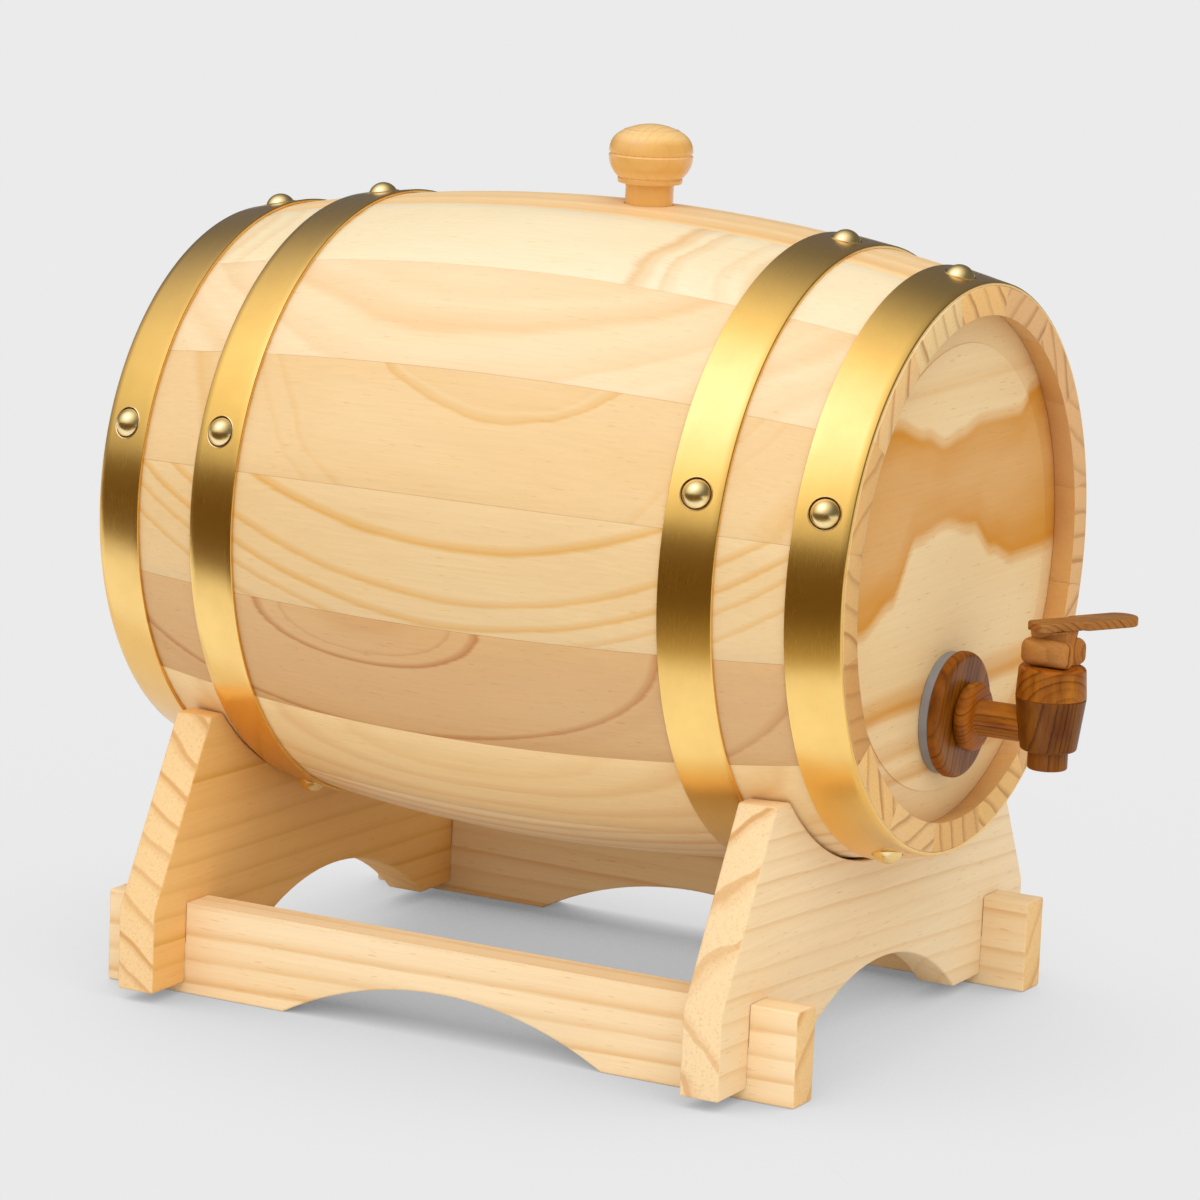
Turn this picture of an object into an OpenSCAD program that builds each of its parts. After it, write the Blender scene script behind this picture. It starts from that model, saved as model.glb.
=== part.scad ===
// Wooden barrel dispenser: a barrel of tapered staves on a cradle stand, with a turned tap and a bung.
// The barrel lies along Y with its tap at -Y, +Z is up and z = 0 is the surface under the stand.
// The origin lies below the middle of the whole object.

/* [Barrel] */
// Length over the stave ends
barrel_length = 300; // [270:1:340]
// Diameter over the stave ends
end_diameter = 200; // [185:1:220]
// Diameter at the belly
belly_diameter = 235; // [222:1:250]
// Thickness of the staves
stave_thickness = 10; // [9:0.5:13]
// Number of staves
stave_count = 16; // [16]
// Height of the barrel's axis above the ground
axis_height = 174; // [166:1:184]

/* [Heads] */
// Depth of the raised panel below the stave ends
head_depth = 7.2; // [5:0.2:12]
// Thickness of the heads
head_thickness = 13; // [11:0.5:18]
// Width of the bevel round the raised panel
bevel_width = 12.3; // [8:0.1:18]
// Fall of the bevel from the panel to the head's edge
bevel_fall = 1.9; // [1:0.1:3]
// Thickness of the tongue round the head's edge
tongue_thickness = 6; // [4:0.2:7]
// Depth of the groove in the staves that holds the tongue
croze_depth = 3; // [2:0.1:4]

/* [Hoops] */
// Width of the hoops
hoop_width = 19.5; // [16:0.5:22]
// Thickness of the hoops
hoop_thickness = 1.2; // [0.8:0.1:2]
// Distance of the outer hoops from the stave ends
hoop_inset = 0.4; // [0:0.1:3]
// Turn of the side rivets from the top of the barrel
side_rivet_turn = 72; // [68:1:76]
// Turn of the lower rivets from the top of the barrel
lower_rivet_turn = 160; // [156:1:164]
// Diameter of the domed rivet heads
rivet_diameter = 10.4; // [8:0.1:12]
// Height of the rivet heads
rivet_height = 3.4; // [2:0.1:4.5]
// Diameter of the rivet shanks
shank_diameter = 2.4; // [2:0.1:3]
// Length of the rivet shanks under the head
shank_length = 7; // [5:0.5:8.5]

/* [Stand] */
// Thickness of the cradle boards
board_thickness = 15; // [12:0.5:18]
// Gap between an outer hoop and its cradle
cradle_gap = 7.6; // [5:0.1:11]
// Gap between a cradle and its inner hoop
hoop_gap = 2.5; // [1.5:0.1:6]
// Width over the cradle feet
stand_width = 246; // [230:1:270]
// Height of the cradle horns
horn_height = 100.5; // [92:0.5:108]
// Width of a horn's flat top
horn_width = 10.5; // [8:0.5:16]
// Height of the upright edge of the cradle feet
foot_edge_height = 34; // [28:1:42]
// Clearance of the cradles above the ground
foot_clearance = 4; // [2:0.5:7]
// Length of each cradle foot along X
foot_length = 57; // [48:1:64]
// Rise of the arch under a cradle
cradle_arch_rise = 24.8; // [18:0.2:30]
// Gap between the barrel and the saddle at the saddle's inner edge
saddle_gap_inner = 0.35; // [0.3:0.05:0.8]
// Gap between the barrel and the saddle at the saddle's outer edge
saddle_gap_outer = 1.2; // [0.4:0.1:3]

/* [Rails] */
// Length of the rails
rail_length = 282; // [270:1:330]
// Height of the rails
rail_height = 34; // [28:1:40]
// Thickness of the rails
rail_thickness = 14; // [10:0.5:18]
// Reach of the cradle feet past the rails
foot_overhang = 21; // [14:0.5:26]
// Length of each rail foot
rail_foot_length = 75.5; // [66:0.5:84]
// Rise of the arch under a rail
rail_arch_rise = 17; // [10:0.5:18]
// Height of the lap between a cradle and a rail
lap_height = 19; // [17:0.5:23]

/* [Tap] */
// Drop of the tap below the barrel's axis
tap_drop = 52; // [46:1:54]
// Reach of the tap's upright axis from the head panel
tap_reach = 40.5; // [36:0.5:50]
// Diameter of the tap's flange
flange_diameter = 45; // [38:0.5:48]
// Thickness of the tap's flange
flange_thickness = 4.6; // [4:0.1:7]
// Diameter of the outer gasket
gasket_diameter = 43.6; // [36:0.1:46]
// Thickness of the outer gasket
gasket_thickness = 3.6; // [2:0.1:5]
// Diameter of the tap's rounded shoulder
shoulder_diameter = 25; // [20:0.5:28]
// Thickness of the tap's rounded shoulder
shoulder_thickness = 6.2; // [5:0.1:8]
// Diameter of the tap's stem
stem_diameter = 12.8; // [11.4:0.1:14]
// Diameter of the passage through the stem
passage_diameter = 7; // [5.6:0.1:7.4]
// Diameter of the shank through the head
tail_diameter = 15; // [13:0.5:17]
// Thickness of the inner gasket
inner_gasket_thickness = 2.5; // [1.5:0.1:4]
// Thickness of the lock nut
nut_thickness = 8; // [6:0.5:10]
// Width across the lock nut's flats
nut_width = 26; // [23:0.5:32]

/* [Tap body] */
// Diameter at the body's belt
belt_diameter = 25; // [23:0.2:28]
// Diameter at the top of the bonnet
bonnet_top_diameter = 23.8; // [21:0.2:26]
// Diameter at the bottom of the body
body_bottom_diameter = 19.8; // [18:0.2:22]
// Height of the belt above the stem's axis
belt_rise = 11; // [10:0.2:13]
// Height of the bonnet
bonnet_height = 11.2; // [9:0.2:14]
// Depth of the body below the stem's axis
body_drop = 7.8; // [7.2:0.1:10]
// Diameter of the spout
spout_diameter = 14.2; // [12.6:0.1:15.5]
// Length of the spout
spout_length = 6.8; // [5:0.1:10]
// Diameter of the spout's outlet
outlet_diameter = 8.4; // [7.4:0.1:9]
// Diameter of the valve plug
plug_diameter = 13; // [12.4:0.1:14]
// Diameter of the port in the valve plug
port_diameter = 5.2; // [4.4:0.1:5.4]
// Diameter of the plug's spindle
spindle_diameter = 8.4; // [7:0.1:9]
// Thickness of the plug's seal rings
seal_thickness = 1.6; // [1.2:0.1:1.8]

/* [Key and lever] */
// Length of the key block along the stem
key_length = 18.5; // [17:0.5:21]
// Width of the key block across the stem
key_width = 15.5; // [14:0.5:18]
// Height of the key block's rounded foot
key_foot_height = 9.2; // [8:0.2:11]
// Height of the whole key block
key_height = 12.4; // [11.6:0.2:14.5]
// Amount that the key block's neck draws in on each side
neck_draw = 3; // [1.5:0.1:3.6]
// Width of the upright finger hollow in each end of the key block
hollow_width = 10.4; // [8:0.2:11.6]
// Depth of those finger hollows
hollow_depth = 3.5; // [2:0.1:4]
// Turn of the lever from its open place in line with the stem
lever_turn = 60; // [50:1:70]
// Reach of the lever from the tap's upright axis
lever_reach = 34.5; // [28:0.5:42]
// Reach of the lever's tail behind that axis
tail_reach = 9; // [8:0.5:11]
// Width of the lever's tail
tail_width = 10; // [9:0.5:12]
// Width of the lever's paddle
paddle_width = 13; // [12:0.5:18]
// Distance of the paddle's shoulder from the axis
paddle_start = 9; // [8:0.5:12]
// Thickness of the lever
lever_thickness = 3.2; // [2.6:0.1:4.5]

/* [Bung] */
// Distance of the bung from the barrel's middle towards the tap
bung_offset = 16; // [0:1:30]
// Diameter of the bung's neck
neck_diameter = 17.4; // [15:0.2:19]
// Visible height of the bung's neck
neck_height = 7.4; // [5:0.2:11]
// Depth of the bung below the barrel's surface
plug_depth = 15; // [12:0.5:20]
// Diameter of the bung's collar
collar_diameter = 23.4; // [20.6:0.2:26]
// Height of the bung's collar
collar_height = 2.1; // [1.5:0.1:3]
// Diameter of the knob
knob_diameter = 30.4; // [28:0.2:34]
// Height of the knob below its groove
knob_lower_height = 8.5; // [7:0.1:10]
// Height of the knob above its groove
knob_upper_height = 8; // [7:0.1:10]
// Depth of the groove round the knob
knob_groove = 0.7; // [0.4:0.1:1.2]
// Diameter of the button on the knob
button_diameter = 19.2; // [16:0.2:22]
// Height of the button on the knob
button_height = 2.6; // [1.5:0.1:4]
// Thickness of the sealing sleeve on the bung
sleeve_thickness = 1.5; // [1:0.1:2]

/* [Fits] */
// Clearance of glued and seated wooden joints
wood_fit = 0.1; // [0.05:0.05:0.3]
// Radial clearance of the turning plug and its spindle
running_fit = 0.05; // [0.02:0.01:0.1]
// Clearance of pieces that slide apart
sliding_fit = 0.3; // [0.2:0.05:0.5]

/* [Hidden] */
STAVES = [for (i = [1 : stave_count]) str("stave_", i < 10 ? "0" : "", i)];
HOOPS = ["front_outer", "front_inner", "rear_inner", "rear_outer"];
$fn = 96;
// Finer steps for the long arc of the staves
arc_steps = 720;
// Overlap of cutting shapes past the faces that they cut
cut = 1;

// Barrel
end_radius = end_diameter / 2;
belly_radius = belly_diameter / 2;
half_length = barrel_length / 2;
stave_arc = arc_radius(half_length, belly_radius - end_radius);
arc_centre = belly_radius - stave_arc;
stave_pitch = 360 / stave_count;

// Heads
head_edge_depth = head_depth + bevel_fall;
head_edge_radius = inner_radius(half_length - head_edge_depth) - wood_fit;
panel_radius = head_edge_radius - bevel_width;
croze_radius = inner_radius(half_length - head_edge_depth) + croze_depth;

// Hoops and cradles, measured from the stave ends
cradle_start = hoop_inset + hoop_width + cradle_gap;
cradle_end = cradle_start + board_thickness;
inner_hoop_start = cradle_end + hoop_gap;
outer_hoop_middle = half_length - hoop_inset - hoop_width / 2;
inner_hoop_middle = half_length - inner_hoop_start - hoop_width / 2;
HOOP_MIDDLES = [-outer_hoop_middle, -inner_hoop_middle, inner_hoop_middle, outer_hoop_middle];

// Stand
foot_x = stand_width / 2;
cradle_y = half_length - cradle_start - board_thickness / 2;
saddle_inner_radius = outer_radius(half_length - cradle_end) + saddle_gap_inner;
saddle_outer_radius = outer_radius(half_length - cradle_start) + saddle_gap_outer;
horn_inner_x = sqrt(pow(saddle_outer_radius, 2) - pow(axis_height - horn_height, 2));
horn_outer_x = horn_inner_x + horn_width;
rail_x = foot_x - foot_overhang - rail_thickness / 2;
cradle_arch_half = foot_x - foot_length;
rail_arch_half = rail_length / 2 - rail_foot_length;

// Tap, measured outward from the head panel and up from the stem's axis
tap_z = axis_height - tap_drop;
panel_y = -(half_length - head_depth);
tap_y = panel_y - tap_reach;
flange_start = gasket_thickness;
shoulder_start = flange_start + flange_thickness;
stem_start = shoulder_start + shoulder_thickness;
nut_start = head_thickness + inner_gasket_thickness;
tail_proud = 2;
tail_end = nut_start + nut_thickness + tail_proud;
tail_bore = tail_diameter + 2 * wood_fit;
gasket_margin = 3;
bore_diameter = plug_diameter + 2 * running_fit;
inlet_diameter = port_diameter + 0.4;
well_diameter = port_diameter + 0.6;
tenon_wall = 1.4;
tenon_diameter = passage_diameter + 2 * tenon_wall;
socket_wall = 2;
socket_depth = bore_diameter / 2 + socket_wall;
floor_thickness = 3.4;
plug_floor = floor_thickness - body_drop;
bonnet_top = belt_rise + bonnet_height;
bonnet_rounding = 1.4;
register_wall = 2.4;
register_radius = plug_diameter / 2 + register_wall;
register_depth = 2;
plug_top = belt_rise - register_depth - sliding_fit;
spigot_wall = 1.4;
spigot_radius = outlet_diameter / 2 + spigot_wall;
spigot_length = 2;
lower_seal = inlet_diameter / 2 + 0.75 * seal_thickness;
SEAL_HEIGHTS = [lower_seal, lower_seal + 1.6 * seal_thickness];
key_bottom = bonnet_top + sliding_fit;
key_corner = 3.6;
spindle_socket = key_foot_height / 2;
hollow_radius = arc_radius(hollow_width / 2, hollow_depth);
lever_bottom = key_bottom + key_height;
lever_corner = 2;

// Bung, measured up from the barrel's surface on the bung's axis
bung_z = axis_height + outer_radius(bung_offset);
collar_top = neck_height + collar_height;
groove_height = collar_top + knob_lower_height;
knob_top = groove_height + knob_upper_height;
plug_radius = neck_diameter / 2 - sleeve_thickness;
sleeve_drop = 1;
bung_hole = neck_diameter + 2 * sliding_fit;

// Place of the barrel's middle, which puts the origin below the middle of the whole object
tip_radius = paddle_width / 2;
front_reach = -tap_y + (lever_reach - tip_radius) * cos(lever_turn) + tip_radius;
barrel_y = (front_reach - max(half_length, rail_length / 2)) / 2;

PINE = "burlywood";
PALE_PINE = "wheat";
BRASS = "goldenrod";
DARK_WOOD = "saddlebrown";
MAPLE = "peru";
SILICONE = "lightgray";

// Radius of an arc from half its chord and its rise
function arc_radius(half_chord, rise) = (pow(half_chord, 2) + pow(rise, 2)) / (2 * rise);
// Outside radius of the barrel at a distance along it from its middle
function outer_radius(along) = arc_centre + sqrt(pow(stave_arc, 2) - pow(along, 2));
// Inside radius of the barrel at that distance
function inner_radius(along) = arc_centre + sqrt(pow(stave_arc - stave_thickness, 2) - pow(along, 2));
// Angles of a hoop's rivets round the barrel from its top
function rivet_angles() = [0, side_rivet_turn, lower_rivet_turn, -lower_rivet_turn, -side_rivet_turn];
// Smallest turn between two angles
function turn_between(a, b) = abs((a - b + 540) % 360 - 180);

// Moves a shape from the barrel's own frame, with its middle on the axis, to its place on the stand
module on_axis() {
    translate([0, barrel_y, axis_height]) children();
}

// Turns an outline of radius and length along the barrel about the barrel's axis
module about_barrel(start = 0, sweep = 360) {
    on_axis()
        rotate([-90, 0, 0])
        rotate([0, 0, -90 - start - sweep])
        rotate_extrude(angle = sweep)
        children();
}

// Turns an outline of radius and distance out of the head panel about the stem's axis
module about_stem() {
    translate([0, barrel_y + panel_y, tap_z]) rotate([90, 0, 0]) rotate_extrude() children();
}

// Places a shape on the tap's upright axis, at the height of the stem
module on_tap() {
    translate([0, barrel_y + tap_y, tap_z]) children();
}

// Places a shape on the bung's axis, at the barrel's surface
module on_bung() {
    translate([0, barrel_y - bung_offset, bung_z]) children();
}

// Places a shape at one spot of the barrel's surface, with its Z axis square to the surface
module on_surface(along, angle, lift) {
    on_axis()
        rotate([0, -angle, 0])
        translate([0, along, outer_radius(along)])
        rotate([-asin(along / stave_arc), 0, 0])
        translate([0, 0, lift])
        children();
}

// Rectangle with round corners, centred on X and standing on y = 0
module rounded_block(w, h, r) {
    translate([-w / 2, r]) square([w, h - 2 * r]);
    translate([-w / 2 + r, 0]) square([w - 2 * r, h]);
    for (x = [-w / 2 + r, w / 2 - r], y = [r, h - r]) translate([x, y]) circle(r);
}

// Half outline that swells along an arc from one radius to a larger one at its full height
module swell(small, large, h) {
    bulge = arc_radius(h, large - small);
    square([small, h]);
    intersection() {
        translate([large - bulge, h]) circle(bulge);
        square([large, h]);
    }
}

// Half outline of a shallow dome
module dome(r, h) {
    ball = arc_radius(r, h);
    intersection() {
        translate([0, h - ball]) circle(ball, $fn = 256);
        square([r, h]);
    }
}

// Half ring outline between two radii
module ring(inner, outer, h) {
    translate([inner, 0]) square([outer - inner, h]);
}

// Disc under the long arc that shapes the staves
module stave_disc(r) {
    translate([arc_centre, 0]) circle(r, $fn = arc_steps);
}

// Groove in the staves that holds a head's tongue
module croze() {
    translate([0, half_length - head_edge_depth - tongue_thickness - wood_fit])
        square([croze_radius, tongue_thickness + 2 * wood_fit]);
}

module stave_outline() {
    difference() {
        intersection() {
            difference() {
                stave_disc(stave_arc);
                stave_disc(stave_arc - stave_thickness);
            }
            translate([0, -half_length]) square([belly_radius + cut, barrel_length]);
        }
        croze();
        mirror([0, 1]) croze();
    }
}

module shank_hole() {
    cylinder(d = shank_diameter + wood_fit, h = 2 * shank_length, center = true);
}

// Holes for the rivet shanks that fall on a stave
module shank_holes(angle) {
    for (along = HOOP_MIDDLES, turn = rivet_angles())
        if (turn_between(turn, angle) < stave_pitch / 2)
            on_surface(along, turn, 0) shank_hole();
}

// Hole for the bung through the top stave
module bung_bore() {
    on_bung() translate([0, 0, -2 * stave_thickness]) cylinder(d = bung_hole, h = 3 * stave_thickness);
}

module stave(i) {
    angle = i * stave_pitch;
    color(i % 2 == 0 ? PINE : PALE_PINE) difference() {
        about_barrel(angle - stave_pitch / 2, stave_pitch) stave_outline();
        shank_holes(angle);
        if (i == 0) bung_bore();
    }
}

// Half outline of a head, with its panel at y = 0 and its inside towards +Y
module head_outline() {
    tongue_radius = croze_radius - wood_fit;
    polygon([
        [0, 0],
        [panel_radius, 0],
        [head_edge_radius, bevel_fall],
        [tongue_radius, bevel_fall],
        [tongue_radius, bevel_fall + tongue_thickness],
        [head_edge_radius, bevel_fall + tongue_thickness],
        [head_edge_radius, head_thickness],
        [0, head_thickness]
    ]);
}

module front_head() {
    color(PINE) difference() {
        about_barrel() translate([0, panel_y]) head_outline();
        about_stem()
            translate([0, -head_thickness - cut])
            square([tail_bore / 2, head_thickness + 2 * cut]);
    }
}

module rear_head() {
    color(PINE) about_barrel() translate([0, -panel_y]) mirror([0, 1]) head_outline();
}

// Brass band that follows the staves, with holes for its rivets
module hoop(along) {
    color(BRASS) difference() {
        about_barrel() intersection() {
            difference() {
                stave_disc(stave_arc + wood_fit + hoop_thickness);
                stave_disc(stave_arc + wood_fit);
            }
            translate([0, along - hoop_width / 2]) square([2 * belly_radius, hoop_width]);
        }
        for (turn = rivet_angles())
            on_surface(along, turn, 0) shank_hole();
    }
}

// Domed rivets of one hoop, each with its shank
module rivets(along) {
    seat = wood_fit + hoop_thickness;
    color(BRASS) for (turn = rivet_angles()) on_surface(along, turn, seat) rotate_extrude() {
        dome(rivet_diameter / 2, rivet_height);
        translate([0, wood_fit - shank_length]) square([shank_diameter / 2, shank_length]);
    }
}

// Front view of a cradle board, before its saddle is cut
module cradle_outline() {
    arch = arc_radius(cradle_arch_half, cradle_arch_rise);
    difference() {
        polygon([
            [-foot_x, foot_clearance],
            [-foot_x, foot_edge_height],
            [-horn_outer_x, horn_height],
            [horn_outer_x, horn_height],
            [foot_x, foot_edge_height],
            [foot_x, foot_clearance]
        ]);
        translate([0, foot_clearance + cradle_arch_rise - arch]) circle(arch, $fn = 256);
        for (side = [-1, 1]) translate([side * rail_x, 0]) rail_lap();
    }
}

// Slot in a cradle that drops over a rail
module rail_lap() {
    slot = rail_thickness + 2 * wood_fit;
    translate([-slot / 2, 0]) square([slot, lap_height]);
}

// Cradle board at the rear, with its outer face towards +Y
module cradle() {
    difference() {
        rotate([90, 0, 0]) linear_extrude(board_thickness, center = true) cradle_outline();
        translate([0, -board_thickness / 2, axis_height])
            rotate([-90, 0, 0])
            cylinder(r1 = saddle_inner_radius, r2 = saddle_outer_radius, h = board_thickness, $fn = 256);
    }
}

module front_cradle() {
    color(PALE_PINE) translate([0, barrel_y - cradle_y, 0]) mirror([0, 1, 0]) cradle();
}

module rear_cradle() {
    color(PALE_PINE) translate([0, barrel_y + cradle_y, 0]) cradle();
}

// Side view of a rail
module rail_outline() {
    arch = arc_radius(rail_arch_half, rail_arch_rise);
    slot = board_thickness + 2 * wood_fit;
    difference() {
        translate([-rail_length / 2, 0]) square([rail_length, rail_height]);
        translate([0, rail_arch_rise - arch]) circle(arch, $fn = 256);
        for (side = [-1, 1])
            translate([side * cradle_y - slot / 2, lap_height])
            square([slot, rail_height]);
    }
}

module rail(side) {
    color(PALE_PINE)
        translate([side * rail_x - rail_thickness / 2, barrel_y, 0])
        rotate([90, 0, 90])
        linear_extrude(rail_thickness)
        rail_outline();
}

module outer_gasket() {
    color(SILICONE) about_stem() ring(tail_bore / 2, gasket_diameter / 2, gasket_thickness);
}

// Flange with a rounded front edge
module tap_flange() {
    rounding = flange_thickness / 2;
    color(DARK_WOOD) about_stem() translate([0, flange_start]) {
        ring(tail_bore / 2, flange_diameter / 2 - rounding, flange_thickness);
        ring(tail_bore / 2, flange_diameter / 2, flange_thickness - rounding);
        translate([flange_diameter / 2 - rounding, flange_thickness - rounding]) circle(rounding);
    }
}

// Half outline of the shank through the head, the rounded shoulder and the stem
module stem_outline() {
    rounding = shoulder_thickness / 2;
    translate([0, -tail_end]) square([tail_diameter / 2, tail_end + shoulder_start]);
    translate([0, shoulder_start]) square([shoulder_diameter / 2 - rounding, shoulder_thickness]);
    translate([shoulder_diameter / 2 - rounding, shoulder_start + rounding]) circle(rounding);
    translate([0, stem_start - cut]) square([stem_diameter / 2, tap_reach - stem_start + cut]);
}

// Turned stem whose end is coped to the tap's body, with a tenon that enters the body
module tap_stem() {
    tenon_length = tap_reach - socket_depth - wood_fit - shoulder_start;
    color(DARK_WOOD) difference() {
        union() {
            difference() {
                about_stem() stem_outline();
                on_tap() body_cone(wood_fit);
            }
            about_stem() translate([0, shoulder_start]) square([tenon_diameter / 2, tenon_length]);
        }
        about_stem() translate([0, -tail_end - cut]) square([passage_diameter / 2, tail_end + tap_reach]);
    }
}

module inner_gasket() {
    color(SILICONE) about_stem()
        translate([0, -nut_start])
        ring(tail_bore / 2, nut_width / 2 + gasket_margin, inner_gasket_thickness);
}

module lock_nut() {
    color(DARK_WOOD) translate([0, barrel_y + panel_y, tap_z]) rotate([-90, 0, 0]) difference() {
        translate([0, 0, nut_start]) cylinder(d = nut_width / cos(30), h = nut_thickness, $fn = 6);
        translate([0, 0, nut_start - cut]) cylinder(d = tail_bore, h = nut_thickness + 2 * cut);
    }
}

// Taper of the body's lower half, with room added all round
module body_cone(room) {
    translate([0, 0, -body_drop]) cylinder(
        d1 = body_bottom_diameter + 2 * room,
        d2 = belt_diameter + 2 * room,
        h = belt_rise + body_drop
    );
}

// Lower half of the tap's upright body, bored for the plug, the stem's tenon and the spout
module tap_body() {
    color(DARK_WOOD) on_tap() difference() {
        body_cone(0);
        translate([0, 0, plug_floor]) cylinder(d = bore_diameter, h = belt_rise + body_drop);
        translate([0, 0, belt_rise - register_depth])
            cylinder(r = register_radius + wood_fit, h = register_depth + cut);
        translate([0, 0, -body_drop - cut]) cylinder(d = outlet_diameter, h = body_drop);
        translate([0, 0, -body_drop - cut]) cylinder(r = spigot_radius + wood_fit, h = spigot_length + cut);
        rotate([-90, 0, 0]) cylinder(d = inlet_diameter, h = tap_reach / 2);
        translate([0, socket_depth, 0])
            rotate([-90, 0, 0])
            cylinder(d = tenon_diameter + 2 * wood_fit, h = tap_reach / 2);
    }
}

// Half outline of the body's upper half above the belt
module bonnet_outline() {
    top_radius = bonnet_top_diameter / 2;
    polygon([
        [0, 0],
        [belt_diameter / 2, 0],
        [top_radius, bonnet_height - bonnet_rounding],
        [top_radius - bonnet_rounding, bonnet_height],
        [0, bonnet_height]
    ]);
}

// Upper half of the body, which holds the plug down
module tap_bonnet() {
    bottom = belt_rise - register_depth;
    color(DARK_WOOD) on_tap() difference() {
        union() {
            translate([0, 0, belt_rise]) rotate_extrude() bonnet_outline();
            translate([0, 0, bottom]) cylinder(r = register_radius, h = register_depth + cut);
        }
        translate([0, 0, bottom - cut])
            cylinder(d = spindle_diameter + 2 * running_fit, h = bonnet_top - bottom + 2 * cut);
    }
}

module tap_spout() {
    color(DARK_WOOD) on_tap() translate([0, 0, -body_drop - spout_length]) rotate_extrude() {
        ring(outlet_diameter / 2, spout_diameter / 2, spout_length);
        ring(outlet_diameter / 2, spigot_radius, spout_length + spigot_length);
    }
}

// Turning plug: an upright bore, a port in its side and a spindle up through the bonnet
module valve_plug() {
    bottom = plug_floor + sliding_fit;
    color(DARK_WOOD) on_tap() difference() {
        union() {
            translate([0, 0, bottom]) cylinder(d = plug_diameter, h = plug_top - bottom);
            cylinder(d = spindle_diameter, h = key_bottom + spindle_socket);
        }
        translate([0, 0, bottom - cut]) cylinder(d = well_diameter, h = cut - bottom + well_diameter / 2);
        rotate([0, 0, lever_turn]) rotate([-90, 0, 0]) cylinder(d = port_diameter, h = plug_diameter);
        for (z = SEAL_HEIGHTS) translate([0, 0, z - seal_thickness / 2])
            rotate_extrude()
            ring(plug_diameter / 2 - seal_thickness, plug_diameter, seal_thickness);
    }
}

module plug_seals() {
    middle = (plug_diameter + running_fit - seal_thickness) / 2;
    color("dimgray") on_tap() for (z = SEAL_HEIGHTS) translate([0, 0, z])
        rotate_extrude()
        translate([middle, 0])
        circle(d = seal_thickness);
}

// Side view of the key block: a rounded foot and a narrower neck with hollow corners
module key_outline(w) {
    hollow = key_height - key_foot_height;
    neck = w - 2 * neck_draw;
    rounded_block(w, key_foot_height, key_corner);
    translate([-neck / 2, key_foot_height / 2]) square([neck, key_height - key_foot_height / 2]);
    for (side = [-1, 1]) difference() {
        translate([side * (neck / 2 + hollow / 4), key_foot_height + hollow / 4 - cut / 2])
            square([hollow / 2, hollow / 2 + cut], center = true);
        translate([side * (neck / 2 + hollow / 2), key_foot_height + hollow / 2]) circle(hollow / 2);
    }
}

module key_block() {
    color(DARK_WOOD) on_tap() translate([0, 0, key_bottom]) difference() {
        intersection() {
            rotate([90, 0, 0]) linear_extrude(key_length, center = true) key_outline(key_width);
            rotate([90, 0, 90]) linear_extrude(key_width, center = true) key_outline(key_length);
            translate([0, -key_length / 2, 0])
                linear_extrude(key_height)
                rounded_block(key_width, key_length, key_corner);
        }
        translate([0, 0, -cut]) cylinder(d = spindle_diameter, h = spindle_socket + cut);
        for (side = [-1, 1])
            translate([0, side * (key_length / 2 - hollow_depth + hollow_radius), -cut])
            cylinder(r = hollow_radius, h = key_height + 2 * cut);
    }
}

// Plan of the lever: a narrow tail over the key and a wider round-ended paddle
module lever_outline() {
    translate([0, -tail_reach]) rounded_block(tail_width, tail_reach + 2 * paddle_start, lever_corner);
    translate([0, paddle_start]) rounded_block(paddle_width, paddle_width, lever_corner);
    translate([-paddle_width / 2, paddle_start + lever_corner])
        square([paddle_width, lever_reach - paddle_start - lever_corner - tip_radius]);
    translate([0, lever_reach - tip_radius]) circle(tip_radius);
}

module tap_lever() {
    color(DARK_WOOD) on_tap()
        translate([0, 0, lever_bottom])
        rotate([0, 0, lever_turn - 180])
        linear_extrude(lever_thickness)
        lever_outline();
}

// Knob, collar and neck of the bung in one turned piece, with a slimmer end for the sleeve
module bung() {
    color(MAPLE) on_bung() rotate_extrude() difference() {
        union() {
            translate([0, -plug_depth]) square([plug_radius, plug_depth]);
            translate([0, -sleeve_drop]) square([neck_diameter / 2, sleeve_drop + neck_height + cut]);
            translate([0, neck_height]) square([collar_diameter / 2, collar_height]);
            translate([0, collar_top]) swell(collar_diameter / 2, knob_diameter / 2, knob_lower_height);
            translate([0, knob_top]) mirror([0, 1])
                swell(button_diameter / 2, knob_diameter / 2, knob_upper_height);
            translate([0, knob_top]) dome(button_diameter / 2, button_height);
        }
        translate([knob_diameter / 2, groove_height])
            rotate(45)
            square(sqrt(2) * knob_groove, center = true);
    }
}

module bung_sleeve() {
    color(SILICONE) on_bung()
        translate([0, 0, -plug_depth])
        rotate_extrude()
        ring(plug_radius + wood_fit, neck_diameter / 2, plug_depth - sleeve_drop);
}

front_cradle();
rear_cradle();
rail(-1);  // left_rail
rail(1);  // right_rail
for (i = [0 : stave_count - 1]) stave(i);
front_head();
rear_head();
for (i = [0 : len(HOOPS) - 1]) {
    hoop(HOOP_MIDDLES[i]);
    rivets(HOOP_MIDDLES[i]);
}
outer_gasket();
tap_flange();
tap_stem();
inner_gasket();
lock_nut();
tap_body();
tap_bonnet();
tap_spout();
valve_plug();
plug_seals();
key_block();
tap_lever();
bung();
bung_sleeve();
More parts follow.
